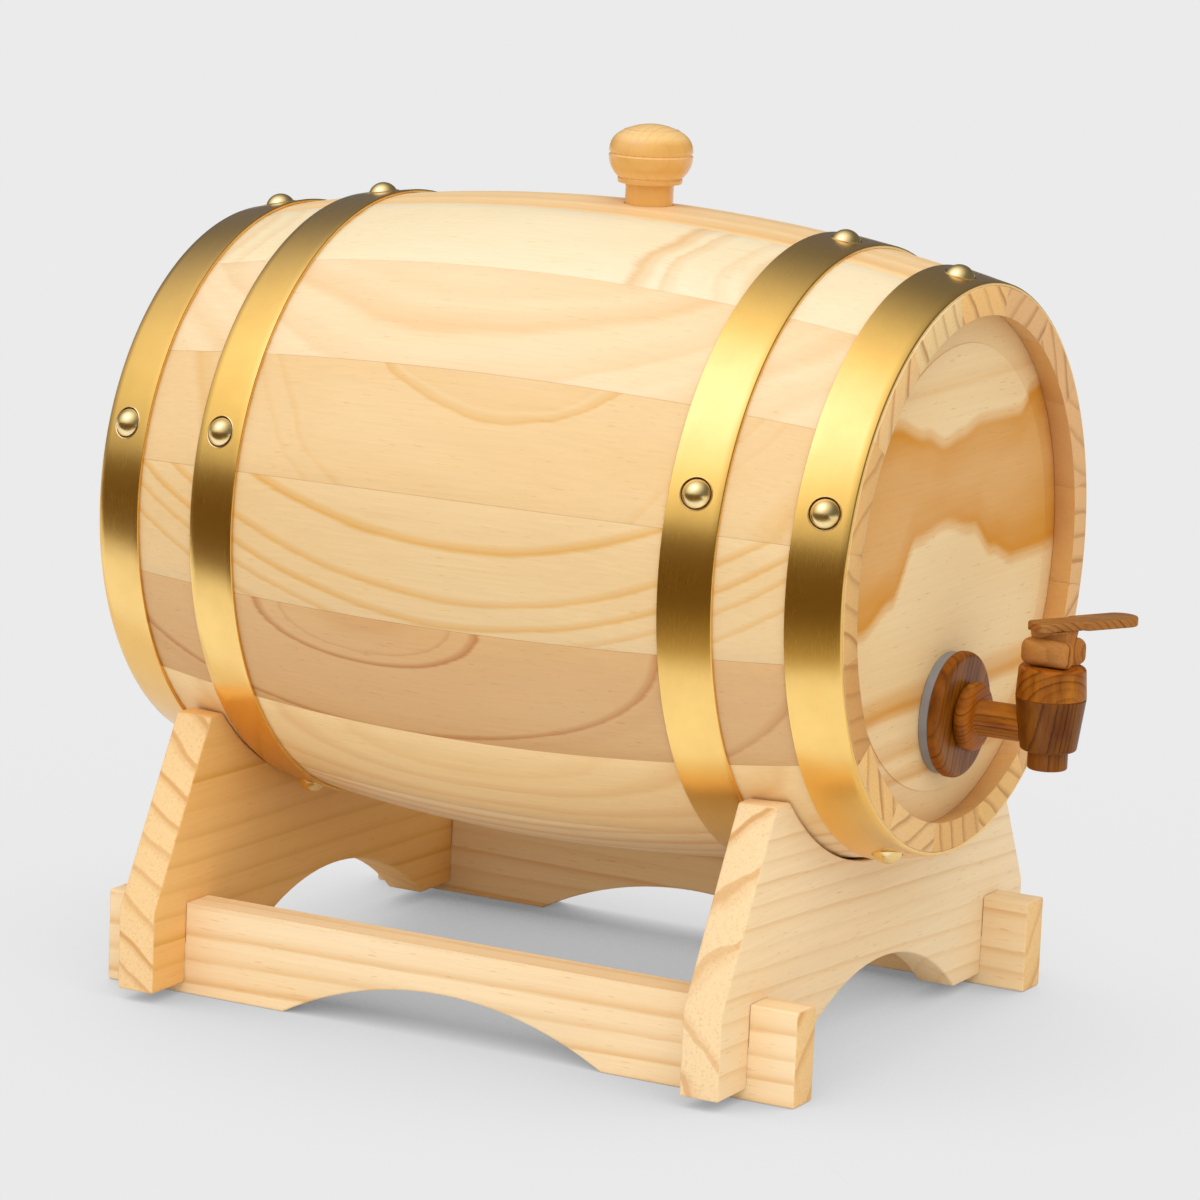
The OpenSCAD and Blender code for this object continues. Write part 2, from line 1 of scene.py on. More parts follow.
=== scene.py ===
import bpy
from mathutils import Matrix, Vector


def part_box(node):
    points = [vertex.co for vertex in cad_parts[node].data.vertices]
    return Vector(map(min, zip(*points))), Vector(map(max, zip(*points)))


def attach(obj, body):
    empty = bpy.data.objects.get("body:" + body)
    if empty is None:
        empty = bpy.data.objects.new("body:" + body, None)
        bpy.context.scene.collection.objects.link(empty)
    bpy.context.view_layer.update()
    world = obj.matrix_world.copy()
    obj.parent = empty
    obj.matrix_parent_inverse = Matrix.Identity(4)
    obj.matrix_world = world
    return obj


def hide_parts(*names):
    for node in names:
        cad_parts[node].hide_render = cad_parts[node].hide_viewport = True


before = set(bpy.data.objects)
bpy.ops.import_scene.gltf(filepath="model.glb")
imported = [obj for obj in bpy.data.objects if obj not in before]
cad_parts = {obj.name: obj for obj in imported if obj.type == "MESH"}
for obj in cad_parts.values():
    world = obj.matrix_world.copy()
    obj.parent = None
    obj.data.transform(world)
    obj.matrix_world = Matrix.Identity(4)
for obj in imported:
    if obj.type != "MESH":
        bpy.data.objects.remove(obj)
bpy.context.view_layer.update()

from math import asin, cos, pi, radians, sin, sqrt, tau

import bpy
from bpy.props import FloatProperty, FloatVectorProperty, IntProperty, PointerProperty
from mathutils import Matrix, Vector

bl_info = {
    "name": "Wooden Barrel Dispenser",
    "version": (1, 0, 0),
    "blender": (4, 5, 0),
    "location": "View3D > Sidebar > Barrel",
    "description": "Models and finishes a wooden barrel dispenser on its cradle stand",
    "category": "Object",
}

STAVES = sorted(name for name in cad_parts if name.startswith("stave_"))
HOOPS = ("front_outer", "front_inner", "rear_inner", "rear_outer")


def middle(node):
    """Middle of a CAD node's box."""
    low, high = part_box(node)
    return (low + high) / 2


# Settings


def length(name, description, default):
    return FloatProperty(name=name, description=description, default=default, unit="LENGTH", precision=5)


def turn(name, description, default):
    return FloatProperty(name=name, description=description, default=default, unit="ROTATION")


def colour(name, description, default):
    return FloatVectorProperty(
        name=name, description=description, default=default, subtype="COLOR", size=3, min=0, max=1
    )


class BarrelSizes(bpy.types.PropertyGroup):
    axis_height: length("Axis height", "Height of the barrel's axis above the ground", middle("front_head").z)
    middle_y: length(
        "Middle", "Place of the barrel's middle along Y",
        (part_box("front_head")[0].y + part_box("rear_head")[1].y) / 2,
    )
    length: length("Length", "Length over the stave ends", 0.300)
    end_radius: length("End radius", "Radius over the stave ends", 0.100)
    belly_radius: length("Belly radius", "Radius at the belly", 0.1175)
    wall: length("Wall", "Thickness of the staves", 0.010)
    staves: IntProperty(name="Staves", description="Number of staves", default=16, min=16, max=16)
    seam: length("Seam rounding", "Rounding of the stave edges at the seams", 0.00022)
    panel_depth: length("Panel depth", "Depth of the head panels below the stave ends", 0.0072)
    head_thickness: length("Head thickness", "Thickness of the heads", 0.013)
    bevel_width: length("Bevel width", "Width of the bevel round a head panel", 0.0123)
    bevel_fall: length("Bevel fall", "Fall of the bevel to the edge of a head", 0.0019)
    tongue: length("Tongue", "Thickness of the tongue round a head", 0.006)
    croze: length("Croze", "Depth of the groove that holds the tongue", 0.003)
    fit: length("Fit", "Clearance of the wooden joints", 0.0001)


class HoopSizes(bpy.types.PropertyGroup):
    width: length("Width", "Width of the hoops", 0.0195)
    thickness: length("Thickness", "Thickness of the hoops", 0.0012)
    lift: length("Lift", "Gap between a hoop and the staves", 0.0001)
    edge: length("Edge rounding", "Rounding of the hoop edges", 0.00045)
    outer_middle: length("Outer hoops", "Distance of the outer hoops from the barrel's middle", 0.13985)
    inner_middle: length("Inner hoops", "Distance of the inner hoops from the barrel's middle", 0.09525)
    side_rivet: turn("Side rivet", "Turn of the side rivets from the top of the barrel", radians(72))
    lower_rivet: turn("Lower rivet", "Turn of the lower rivets from the top of the barrel", radians(160))
    rivet_radius: length("Rivet radius", "Radius of the rivet domes", 0.0052)
    # The dark ring round a rivet's dome is painted shadow at its foot
    rivet_ring: length("Rivet ring", "Width of the dark ring round a rivet's dome", 0.00038)
    rivet_height: length("Rivet height", "Height of the rivet heads", 0.0034)


class StandSizes(bpy.types.PropertyGroup):
    half_width: length("Half width", "Reach of the cradle feet from the middle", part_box("front_cradle")[1].x)
    board: length("Board", "Thickness of the cradle boards", 0.015)
    cradle_y: length("Cradle place", "Distance of the cradles from the barrel's middle", 0.115)
    horn_height: length("Horn height", "Height of the cradle horns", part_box("front_cradle")[1].z)
    horn_width: length("Horn width", "Width of a horn's flat top", 0.0105)
    foot_edge: length("Foot edge", "Height of the upright edge of the cradle feet", 0.034)
    foot_clearance: length("Foot clearance", "Clearance of the cradles above the ground", 0.004)
    arch_half: length("Cradle arch", "Half the width of the arch under a cradle", 0.066)
    arch_rise: length("Cradle arch rise", "Rise of the arch under a cradle", 0.0248)
    saddle_inner: length("Inner saddle gap", "Gap between barrel and saddle at the inner face", 0.00035)
    saddle_outer: length("Outer saddle gap", "Gap between barrel and saddle at the outer face", 0.0012)
    rail_x: length("Rail place", "Distance of the rails from the middle", middle("right_rail").x)
    rail_thickness: length("Rail thickness", "Thickness of the rails", 0.014)
    rail_half: length("Rail half length", "Half the length of the rails", 0.141)
    rail_height: length("Rail height", "Height of the rails", 0.034)
    rail_arch_half: length("Rail arch", "Half the width of the arch under a rail", 0.0655)
    rail_arch_rise: length("Rail arch rise", "Rise of the arch under a rail", 0.017)
    lap: length("Lap height", "Height of the lap between a cradle and a rail", 0.019)
    edge: length("Edge rounding", "Rounding of the board edges", 0.0009)
    fit: length("Fit", "Clearance of the laps", 0.0003)


class TapSizes(bpy.types.PropertyGroup):
    stem_height: length("Stem height", "Height of the stem's axis", middle("outer_gasket").z)
    panel_y: length("Panel place", "Place of the head panel along Y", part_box("outer_gasket")[1].y)
    upright_y: length("Upright place", "Place of the tap's upright axis along Y", middle("tap_spout").y)
    gasket_radius: length("Gasket radius", "Radius of the outer gasket", 0.0218)
    gasket_thickness: length("Gasket thickness", "Thickness of the outer gasket", 0.0036)
    flange_radius: length("Flange radius", "Radius of the flange", 0.0225)
    flange_thickness: length("Flange thickness", "Thickness of the flange", 0.0046)
    shoulder_radius: length("Shoulder radius", "Radius of the rounded shoulder", 0.0125)
    shoulder_thickness: length("Shoulder thickness", "Thickness of the rounded shoulder", 0.0062)
    stem_radius: length("Stem radius", "Radius of the stem", 0.0064)
    passage_radius: length("Passage radius", "Radius of the passage through the stem", 0.0035)
    tail_radius: length("Tail radius", "Radius of the shank through the head", 0.0075)
    tail_length: length("Tail length", "Length of the shank behind the panel", 0.0255)
    bottom_radius: length("Bottom radius", "Radius at the bottom of the body", 0.0099)
    belt_radius: length("Belt radius", "Radius at the body's belt", 0.0125)
    bonnet_radius: length("Bonnet radius", "Radius at the top of the bonnet", 0.0119)
    belt_rise: length("Belt rise", "Height of the belt above the stem's axis", 0.011)
    bonnet_height: length("Bonnet height", "Height of the bonnet", 0.0112)
    body_drop: length("Body drop", "Depth of the body below the stem's axis", 0.0078)
    bore_radius: length("Bore radius", "Radius of the bore for the plug", 0.00655)
    spout_radius: length("Spout radius", "Radius of the spout", 0.0071)
    spout_length: length("Spout length", "Length of the spout", 0.0068)
    outlet_radius: length("Outlet radius", "Radius of the outlet", 0.0042)
    key_length: length("Key length", "Length of the key block along the stem", 0.0198)
    key_width: length("Key width", "Width of the key block across the stem", 0.0164)
    key_foot: length("Key foot", "Height of the key block's foot", 0.0098)
    key_height: length("Key height", "Height of the whole key block", 0.0124)
    key_gap: length("Key gap", "Gap between the bonnet and the key block", 0.0003)
    lever_turn: turn("Lever turn", "Turn of the lever from its place in line with the stem", radians(60))
    lever_reach: length("Lever reach", "Reach of the lever from the upright axis", 0.03449)
    tail_reach: length("Lever tail", "Reach of the lever's tail behind the axis", 0.009)
    tail_width: length("Lever tail width", "Width of the lever's tail", 0.010)
    paddle_width: length("Paddle width", "Width of the lever's paddle", 0.013)
    paddle_start: length("Paddle start", "Distance of the paddle's shoulder from the axis", 0.009)
    lever_thickness: length("Lever thickness", "Thickness of the lever", 0.0032)


class BungSizes(bpy.types.PropertyGroup):
    y: length("Place", "Place of the bung along Y", middle("bung").y)
    neck_radius: length("Neck radius", "Radius of the neck", 0.0087)
    neck_height: length("Neck height", "Height of the neck above the barrel", 0.0074)
    plug_radius: length("Plug radius", "Radius of the end in the sleeve", 0.0072)
    plug_depth: length("Plug depth", "Depth of the bung below the barrel's surface", 0.015)
    collar_radius: length("Collar radius", "Radius of the collar", 0.0117)
    collar_height: length("Collar height", "Height of the collar", 0.0021)
    knob_radius: length("Knob radius", "Radius of the knob", 0.0152)
    lower_height: length("Lower height", "Height of the knob below its groove", 0.0085)
    upper_height: length("Upper height", "Height of the knob above its groove", 0.008)
    groove: length("Groove", "Depth of the groove round the knob", 0.0007)
    button_radius: length("Button radius", "Radius of the button on the knob", 0.0104)
    button_height: length("Button height", "Height of the button on the knob", 0.00258)
    hole_radius: length("Hole radius", "Radius of the bung hole", 0.009)


class FinishColours(bpy.types.PropertyGroup):
    amber: colour("Amber pine", "Wood of the top stave", (0.95, 0.68, 0.365))
    cream: colour("Cream pine", "Wood of the palest staves", (0.92, 0.785, 0.535))
    peach: colour("Peach pine", "Wood of the pinkish staves", (0.92, 0.71, 0.445))
    straw: colour("Straw pine", "Wood of the yellow staves", (0.845, 0.595, 0.31))
    gold: colour("Golden pine", "Wood of the staves with bold lines", (0.815, 0.585, 0.31))
    tan: colour("Tan pine", "Wood of the darkest staves", (0.715, 0.445, 0.205))
    honey: colour("Honey pine", "Wood of the lower staves", (0.94, 0.69, 0.365))
    late_wood: colour("Late wood", "Golden growth lines of the pine", (0.72, 0.37, 0.075))
    soft_line: colour("Soft lines", "Pale orange growth lines of the pine", (0.78, 0.44, 0.16))
    brown_line: colour("Brown lines", "Brown growth lines of the tan staves", (0.50, 0.20, 0.06))
    # Painted shade: darker end grain for the staves on the side turned away from the lamp
    rim: colour("Rim wood", "End grain of the staves on the shaded side", (0.76, 0.44, 0.19))
    # Painted shade: a darker tone for the staves' inner side, seen in the recesses round the heads
    stave_back: colour("Stave back", "Inner side of the staves", (0.68, 0.36, 0.11))
    end_wood: colour("End wood", "Growth lines in the stave ends", (0.42, 0.17, 0.04))
    stand: colour("Stand pine", "Wood of the stand", (0.955, 0.745, 0.465))
    # Painted shade: the stand pine made darker and deeper for the rear cradle, which stands in shade
    shaded_stand: colour("Deep stand pine", "Faces of the rear cradle", (0.91, 0.55, 0.20))
    stand_line: colour("Stand lines", "Growth lines of the stand", (0.70, 0.345, 0.07))
    stand_end: colour("Stand end wood", "Growth lines in the stand's end grain", (0.62, 0.28, 0.06))
    head: colour("Head pine", "Wood of the heads", (0.88, 0.65, 0.35))
    head_band: colour("Head band", "Resinous bands in the heads", (0.66, 0.255, 0.004))
    walnut: colour("Dark wood", "Wood of the tap", (0.37, 0.125, 0.010))
    walnut_line: colour("Dark wood lines", "Growth lines of the tap's wood", (0.04, 0.008, 0.001))
    key_wood: colour("Key wood", "Wood of the key block and the lever", (0.405, 0.18, 0.046))
    maple: colour("Bung wood", "Wood of the bung", (0.79, 0.435, 0.115))
    # End grain on the bung's top, made lighter than its side wood as painted light on the top
    lit_maple_top: colour("Bung end wood", "End grain on top of the bung", (0.93, 0.58, 0.215))
    maple_line: colour("Bung lines", "Growth lines of the bung", (0.62, 0.29, 0.06))
    brass: colour("Brass", "Satin brass of the hoops", (0.93, 0.545, 0.09))
    rivet: colour("Rivet brass", "Polished brass of the rivets", (0.94, 0.70, 0.30))
    # Painted shadow: the dark ring at the foot of each rivet's dome
    tarnish: colour("Tarnish", "Dark ring round the rivets", (0.09, 0.035, 0.005))
    silicone: colour("Silicone", "Cloudy gaskets", (0.28, 0.28, 0.285))
    rubber: colour("Rubber", "Seal rings of the plug", (0.03, 0.03, 0.03))


class StudioSettings(bpy.types.PropertyGroup):
    floor: colour("Floor", "Colour of the floor", (0.83, 0.83, 0.83))
    floor_size: length("Floor size", "Width of the floor", 44.0)
    dome: FloatProperty(name="Dome", description="Brightness of the white dome overhead", default=0.82)
    lean: FloatProperty(name="Lean", description="How much the dome brightens towards -X", default=0.12)
    lamp: FloatProperty(name="Lamp", description="Strength of the wide lamp", default=1.0)
    softbox: FloatProperty(name="Softbox", description="Brightness of the softbox in the brass", default=3.4)
    lens: FloatProperty(
        name="Lens", description="Focal length of the camera", default=155.36, unit="CAMERA"
    )
    camera_place: FloatVectorProperty(
        name="Camera place", description="Place of the camera", size=3, subtype="TRANSLATION",
        default=(-1.63367, -0.86226, 0.49956),
    )
    camera_turn: FloatVectorProperty(
        name="Camera turn", description="Rotation of the camera", size=3, subtype="EULER",
        default=(1.381915, -0.039674, -1.065986),
    )


class DispenserSettings(bpy.types.PropertyGroup):
    barrel: PointerProperty(name="Barrel", description="Sizes of the barrel", type=BarrelSizes)
    hoops: PointerProperty(name="Hoops", description="Sizes of the hoops and rivets", type=HoopSizes)
    stand: PointerProperty(name="Stand", description="Sizes of the stand", type=StandSizes)
    tap: PointerProperty(name="Tap", description="Sizes of the tap", type=TapSizes)
    bung: PointerProperty(name="Bung", description="Sizes of the bung", type=BungSizes)
    colours: PointerProperty(name="Colours", description="Colours of the finishes", type=FinishColours)
    studio: PointerProperty(name="Studio", description="Floor, light and camera", type=StudioSettings)


# Modelling

START_WIDTH = 0.002  # Width of the plane that an outline starts from
MERGE = 5e-6  # Vertices closer than this become one
SLACK = 1e-5  # Slack of the tests that find faces and edges by their place


def fresh():
    """Leaves edit mode and selects nothing."""
    if bpy.context.mode != "OBJECT":
        bpy.ops.object.mode_set(mode="OBJECT")
    bpy.ops.object.select_all(action="DESELECT")


def take_up(piece):
    """Makes a piece the only one selected, and the active one."""
    fresh()
    piece.select_set(True)
    bpy.context.view_layer.objects.active = piece


def remove(piece):
    """Deletes a piece."""
    take_up(piece)
    bpy.ops.object.delete()


def settle(name, scale=(1, 1, 1)):
    """Names a new primitive, and brings its place, turn and scale into its mesh."""
    piece = bpy.context.object
    piece.name = piece.data.name = name
    piece.scale = scale
    bpy.ops.object.transform_apply(location=True, rotation=True, scale=True)
    return piece


def choose(piece, kind, test):
    """Selects in edit mode just those vertices, edges or faces that pass a test."""
    bpy.ops.object.mode_set(mode="EDIT")
    bpy.ops.mesh.select_mode(type=kind)
    bpy.ops.mesh.select_all(action="DESELECT")
    bpy.ops.object.mode_set(mode="OBJECT")
    parts = {"VERT": piece.data.vertices, "EDGE": piece.data.edges, "FACE": piece.data.polygons}
    for part in parts[kind]:
        part.select = test(part)
    bpy.ops.object.mode_set(mode="EDIT")


def draw(name, points):
    """Starts a mesh at the first point, extrudes a vertex through the rest and stays in edit mode."""
    fresh()
    bpy.ops.mesh.primitive_plane_add(size=START_WIDTH, location=points[0])
    piece = settle(name)
    bpy.ops.object.mode_set(mode="EDIT")
    bpy.ops.mesh.select_mode(type="VERT")
    bpy.ops.mesh.select_all(action="SELECT")
    bpy.ops.mesh.merge(type="CENTER")
    for here, there in zip(points, points[1:]):
        step = Vector(there) - Vector(here)
        bpy.ops.mesh.extrude_vertices_move(TRANSFORM_OT_translate={"value": step})
    bpy.ops.mesh.select_all(action="SELECT")
    return piece


def plank(name, points, through):
    """Fills an outline, extrudes it to a board's thickness and stays in edit mode."""
    piece = draw(name, points)
    bpy.ops.mesh.edge_face_add()
    bpy.ops.mesh.extrude_region_move(TRANSFORM_OT_translate={"value": through})
    return piece


def weld():
    """Merges doubled vertices, turns the faces outwards and leaves edit mode."""
    bpy.ops.mesh.select_all(action="SELECT")
    bpy.ops.mesh.remove_doubles(threshold=MERGE)
    bpy.ops.mesh.normals_make_consistent(inside=False)
    bpy.ops.object.mode_set(mode="OBJECT")


def turned(name, outline, centre, axis, steps=96):
    """Spins an outline of (radius, height) pairs about an axis through a centre."""
    centre, axis = Vector(centre), Vector(axis)
    piece = draw(name, [centre + Vector((radius, 0, 0)) + axis * height for radius, height in outline])
    bpy.ops.mesh.spin(steps=steps, angle=tau, center=centre, axis=axis)
    weld()
    return piece


def turned_ring(name, outline, centre, axis, steps=96):
    """Spins a closed outline into a piece with a hole through it."""
    return turned(name, [*outline, outline[0]], centre, axis, steps)


def arc(centre, radius, start, end, steps):
    """Points of an arc in the outline's plane, with its angles in degrees."""
    turns = [radians(start + (end - start) * i / steps) for i in range(steps + 1)]
    return [(centre[0] + radius * cos(t), centre[1] + radius * sin(t)) for t in turns]


def evenly(reach, steps):
    """Values spread evenly from -reach to reach."""
    return [reach * (2 * i / steps - 1) for i in range(steps + 1)]


def bow(half, rise, base, steps=28):
    """Points of a flat arch from -half to half, that rises above a base."""
    radius = (half**2 + rise**2) / (2 * rise)
    turns = evenly(asin(half / radius), steps)
    return [(radius * sin(t), base + rise - radius + radius * cos(t)) for t in turns]


def dome(radius, height, base, steps, share=1.0):
    """Points of a round cap, from its edge or a share of the way out to it, up to its top."""
    ball = (radius**2 + height**2) / (2 * height)
    turns = [asin(radius / ball) * share * (1 - i / steps) for i in range(steps + 1)]
    return [(ball * sin(t), base + height - ball + ball * cos(t)) for t in turns]


def ease(piece, width, segments=3, sharp=30, spare=None):
    """Rounds the sharp edges of a piece, apart from those whose ends are both in a place to spare."""
    take_up(piece)
    bpy.ops.object.mode_set(mode="EDIT")
    bpy.ops.mesh.select_mode(type="EDGE")
    bpy.ops.mesh.select_all(action="DESELECT")
    bpy.ops.mesh.edges_select_sharp(sharpness=radians(sharp))
    if spare:
        bpy.ops.object.mode_set(mode="OBJECT")
        spots = piece.data.vertices
        found = [edge for edge in piece.data.edges if edge.select]
        kept = {edge.index for edge in found if not all(spare(spots[i].co) for i in edge.vertices)}
        choose(piece, "EDGE", lambda edge: edge.index in kept)
    bpy.ops.mesh.bevel(offset=width, segments=segments, affect="EDGES", clamp_overlap=True)
    bpy.ops.object.mode_set(mode="OBJECT")


def carve(piece, cutter):
    """Cuts one mesh out of a piece and removes the cutter."""
    take_up(piece)
    knife = piece.modifiers.new("Cut", "BOOLEAN")
    knife.operation, knife.solver, knife.object = "DIFFERENCE", "EXACT", cutter
    bpy.ops.object.modifier_apply(modifier=knife.name)
    remove(cutter)


def bore(piece, centre, radius, depth, turn=(0, 0, 0), top=None):
    """Cuts a round hole, or a tapered one where a second radius is given."""
    fresh()
    bpy.ops.mesh.primitive_cone_add(
        vertices=96, radius1=radius, radius2=radius if top is None else top, depth=depth,
        location=centre, rotation=turn,
    )
    carve(piece, settle("cutter"))


def copy_turned(piece, name, turn, centre):
    """Copies a piece with a mesh of its own and turns the copy about an axis along Y."""
    take_up(piece)
    bpy.ops.object.duplicate(linked=False)
    copy = bpy.context.object
    copy.name = copy.data.name = name
    centre = Vector(centre)
    copy.matrix_world = Matrix.Translation(centre) @ Matrix.Rotation(turn, 4, "Y") @ Matrix.Translation(-centre)
    bpy.ops.object.transform_apply(location=True, rotation=True, scale=True)
    return copy


def dress(piece, finish):
    """Gives a piece one finish all over."""
    piece.data.materials.clear()
    piece.data.materials.append(finish)


def hand_over(piece, finish, body, nodes, smooth=35):
    """Smooths a finished piece, gives it its finish, unless it has its own, and ties it to the frame."""
    take_up(piece)
    bpy.ops.object.shade_smooth_by_angle(angle=radians(smooth))
    if finish:
        dress(piece, finish)
    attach(piece, body)
    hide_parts(*nodes)


# Finishes


class Wire:
    """A socket that takes part in sums, each of which adds a Math node."""

    def __init__(self, bench, socket):
        self.bench, self.socket = bench, socket

    def sum(self, operation, *terms):
        return self.bench.node("ShaderNodeMath", {"operation": operation}, terms)

    def out(self, index):
        """Another output of the same node."""
        return Wire(self.bench, self.socket.node.outputs[index])

    def __add__(self, other):
        return self.sum("ADD", self, other)

    def __radd__(self, other):
        return self.sum("ADD", other, self)

    def __sub__(self, other):
        return self.sum("SUBTRACT", self, other)

    def __rsub__(self, other):
        return self.sum("SUBTRACT", other, self)

    def __mul__(self, other):
        return self.sum("MULTIPLY", self, other)

    def __rmul__(self, other):
        return self.sum("MULTIPLY", other, self)

    def __truediv__(self, other):
        return self.sum("DIVIDE", self, other)

    def __rtruediv__(self, other):
        return self.sum("DIVIDE", other, self)

    def __pow__(self, other):
        return self.sum("POWER", self, other)

    def __abs__(self):
        return self.sum("ABSOLUTE", self)


class Bench:
    """A node tree to which finishes add their nodes."""

    def __init__(self, tree):
        self.tree = tree
        tree.nodes.clear()

    def node(self, kind, settings=None, sockets=(), out=0):
        """Adds a node: its settings come first, then the values or links of its sockets."""
        made = self.tree.nodes.new(kind)
        for key, value in (settings or {}).items():
            if key == "stops":
                self.set_stops(made.color_ramp, value)
            else:
                setattr(made, key, value)
        pairs = sockets.items() if isinstance(sockets, dict) else enumerate(sockets)
        for key, value in pairs:
            self.feed(made.inputs[key], value)
        return Wire(self, made.outputs[out]) if made.outputs else made

    def set_stops(self, ramp, stops):
        while len(ramp.elements) < len(stops):
            ramp.elements.new(1.0)
        for element, (place, value) in zip(ramp.elements, stops):
            element.position = place
            element.color = (*value, 1) if isinstance(value, tuple) else (value, value, value, 1)

    def feed(self, socket, value):
        if isinstance(value, Wire):
            self.tree.links.new(value.socket, socket)
        elif socket.type == "RGBA" and len(value) == 3:
            socket.default_value = (*value, 1)
        else:
            socket.default_value = value

    def ramp(self, value, stops, spline="LINEAR"):
        made = self.node("ShaderNodeValToRGB", {"stops": stops}, (value,))
        made.socket.node.color_ramp.interpolation = spline
        return made

    def blend(self, share, first, second):
        """Mixes two colours by a share from 0 to 1."""
        settings = {"data_type": "RGBA", "clamp_factor": True}
        return self.node("ShaderNodeMix", settings, {0: share, 6: first, 7: second}, out=2)

    def mapped(self, vector, place=(0, 0, 0), turn=(0, 0, 0), scale=(1, 1, 1), way="POINT"):
        sockets = {"Vector": vector, "Location": place, "Rotation": turn, "Scale": scale}
        return self.node("ShaderNodeMapping", {"vector_type": way}, sockets)

    def noise(self, vector, scale, detail=2.0, roughness=0.5):
        sockets = {"Vector": vector, "Scale": scale, "Detail": detail, "Roughness": roughness}
        return self.node("ShaderNodeTexNoise", {"noise_dimensions": "3D"}, sockets)

    def grain(self, vector, scale, place=(0, 0, 0), detail=3.0, roughness=0.5):
        """Noise that is stretched by a scale for each axis."""
        return self.noise(self.mapped(vector, place, scale=scale), 1.0, detail, roughness)

    def facing(self, vector, way):
        """How far a vector points one way, from -1 to 1."""
        return self.node("ShaderNodeVectorMath", {"operation": "DOT_PRODUCT"}, (vector, way), out=1)

    def split(self, vector):
        made = self.node("ShaderNodeSeparateXYZ", {}, (vector,))
        return made, made.out(1), made.out(2)


def new_finish(name):
    """A new material with an empty bench."""
    material = bpy.data.materials.new(name)
    material.use_nodes = True
    return material, Bench(material.node_tree)


def shade(bench, sockets):
    """Ends a finish with its shader."""
    shader = bench.node("ShaderNodeBsdfPrincipled", {}, sockets)
    bench.node("ShaderNodeOutputMaterial", {}, (shader,))


def lie(grain, face):
    """Rotation of a board whose Y axis is its grain and whose Z axis is its face."""
    grain, face = Vector(grain), Vector(face)
    across = grain.cross(face)
    return Matrix((across, grain, face)).transposed().to_euler()


def dulled(tint, shares):
    """A colour with each of its parts brought down to a share."""
    return [c * f for c, f in zip(tint, shares)]


def warmer(wood, share=1.0):
    """The same wood a little deeper in tone."""
    return dulled(wood, [1 - share * (1 - f) for f in (0.97, 0.91, 0.82)])


# Rise and fall of a growth line over the share of a ring, for faces, cradles and end grain
LINE = ((0.0, 0.0), (0.42, 0.03), (0.66, 0.2), (0.84, 0.9), (0.92, 1.0), (1.0, 0.0))
THIN_LINE = ((0.0, 0.0), (0.55, 0.02), (0.74, 0.2), (0.88, 0.95), (0.94, 1.0), (1.0, 0.0))
END_LINE = ((0.0, 0.0), (0.6, 0.0), (0.74, 0.35), (0.85, 1.0), (0.92, 0.9), (0.98, 0.0))


def drawn_lines(bench, distance, lines):
    """Strength of growth lines at given distances, each with its width and strength in mm and shares."""
    low = min(spot - width for spot, width, _ in lines) / 1000
    high = max(spot + width for spot, width, _ in lines) / 1000
    stops = [(0.0, 0.0)]
    for spot, width, share in lines:
        for shift, part in ((-0.8, 0.0), (-0.2, 0.6), (0.1, 1.0), (0.55, 0.0)):
            stops.append((((spot + shift * width) / 1000 - low) / (high - low), share * part))
    return bench.ramp((distance - low) / (high - low), sorted(stops), "EASE")


def yearly_lines(bench, distance, ring, seed, spread, line=LINE, spline="B_SPLINE"):
    """Strength of evenly grown lines, some years stronger than others."""
    count = distance / ring + seed
    year = bench.node("ShaderNodeTexWhiteNoise", {"noise_dimensions": "1D"}, {"W": count.sum("FLOOR", count)})
    return bench.ramp(count.sum("FRACT", count), line, spline) * (year * spread + (1 - spread))


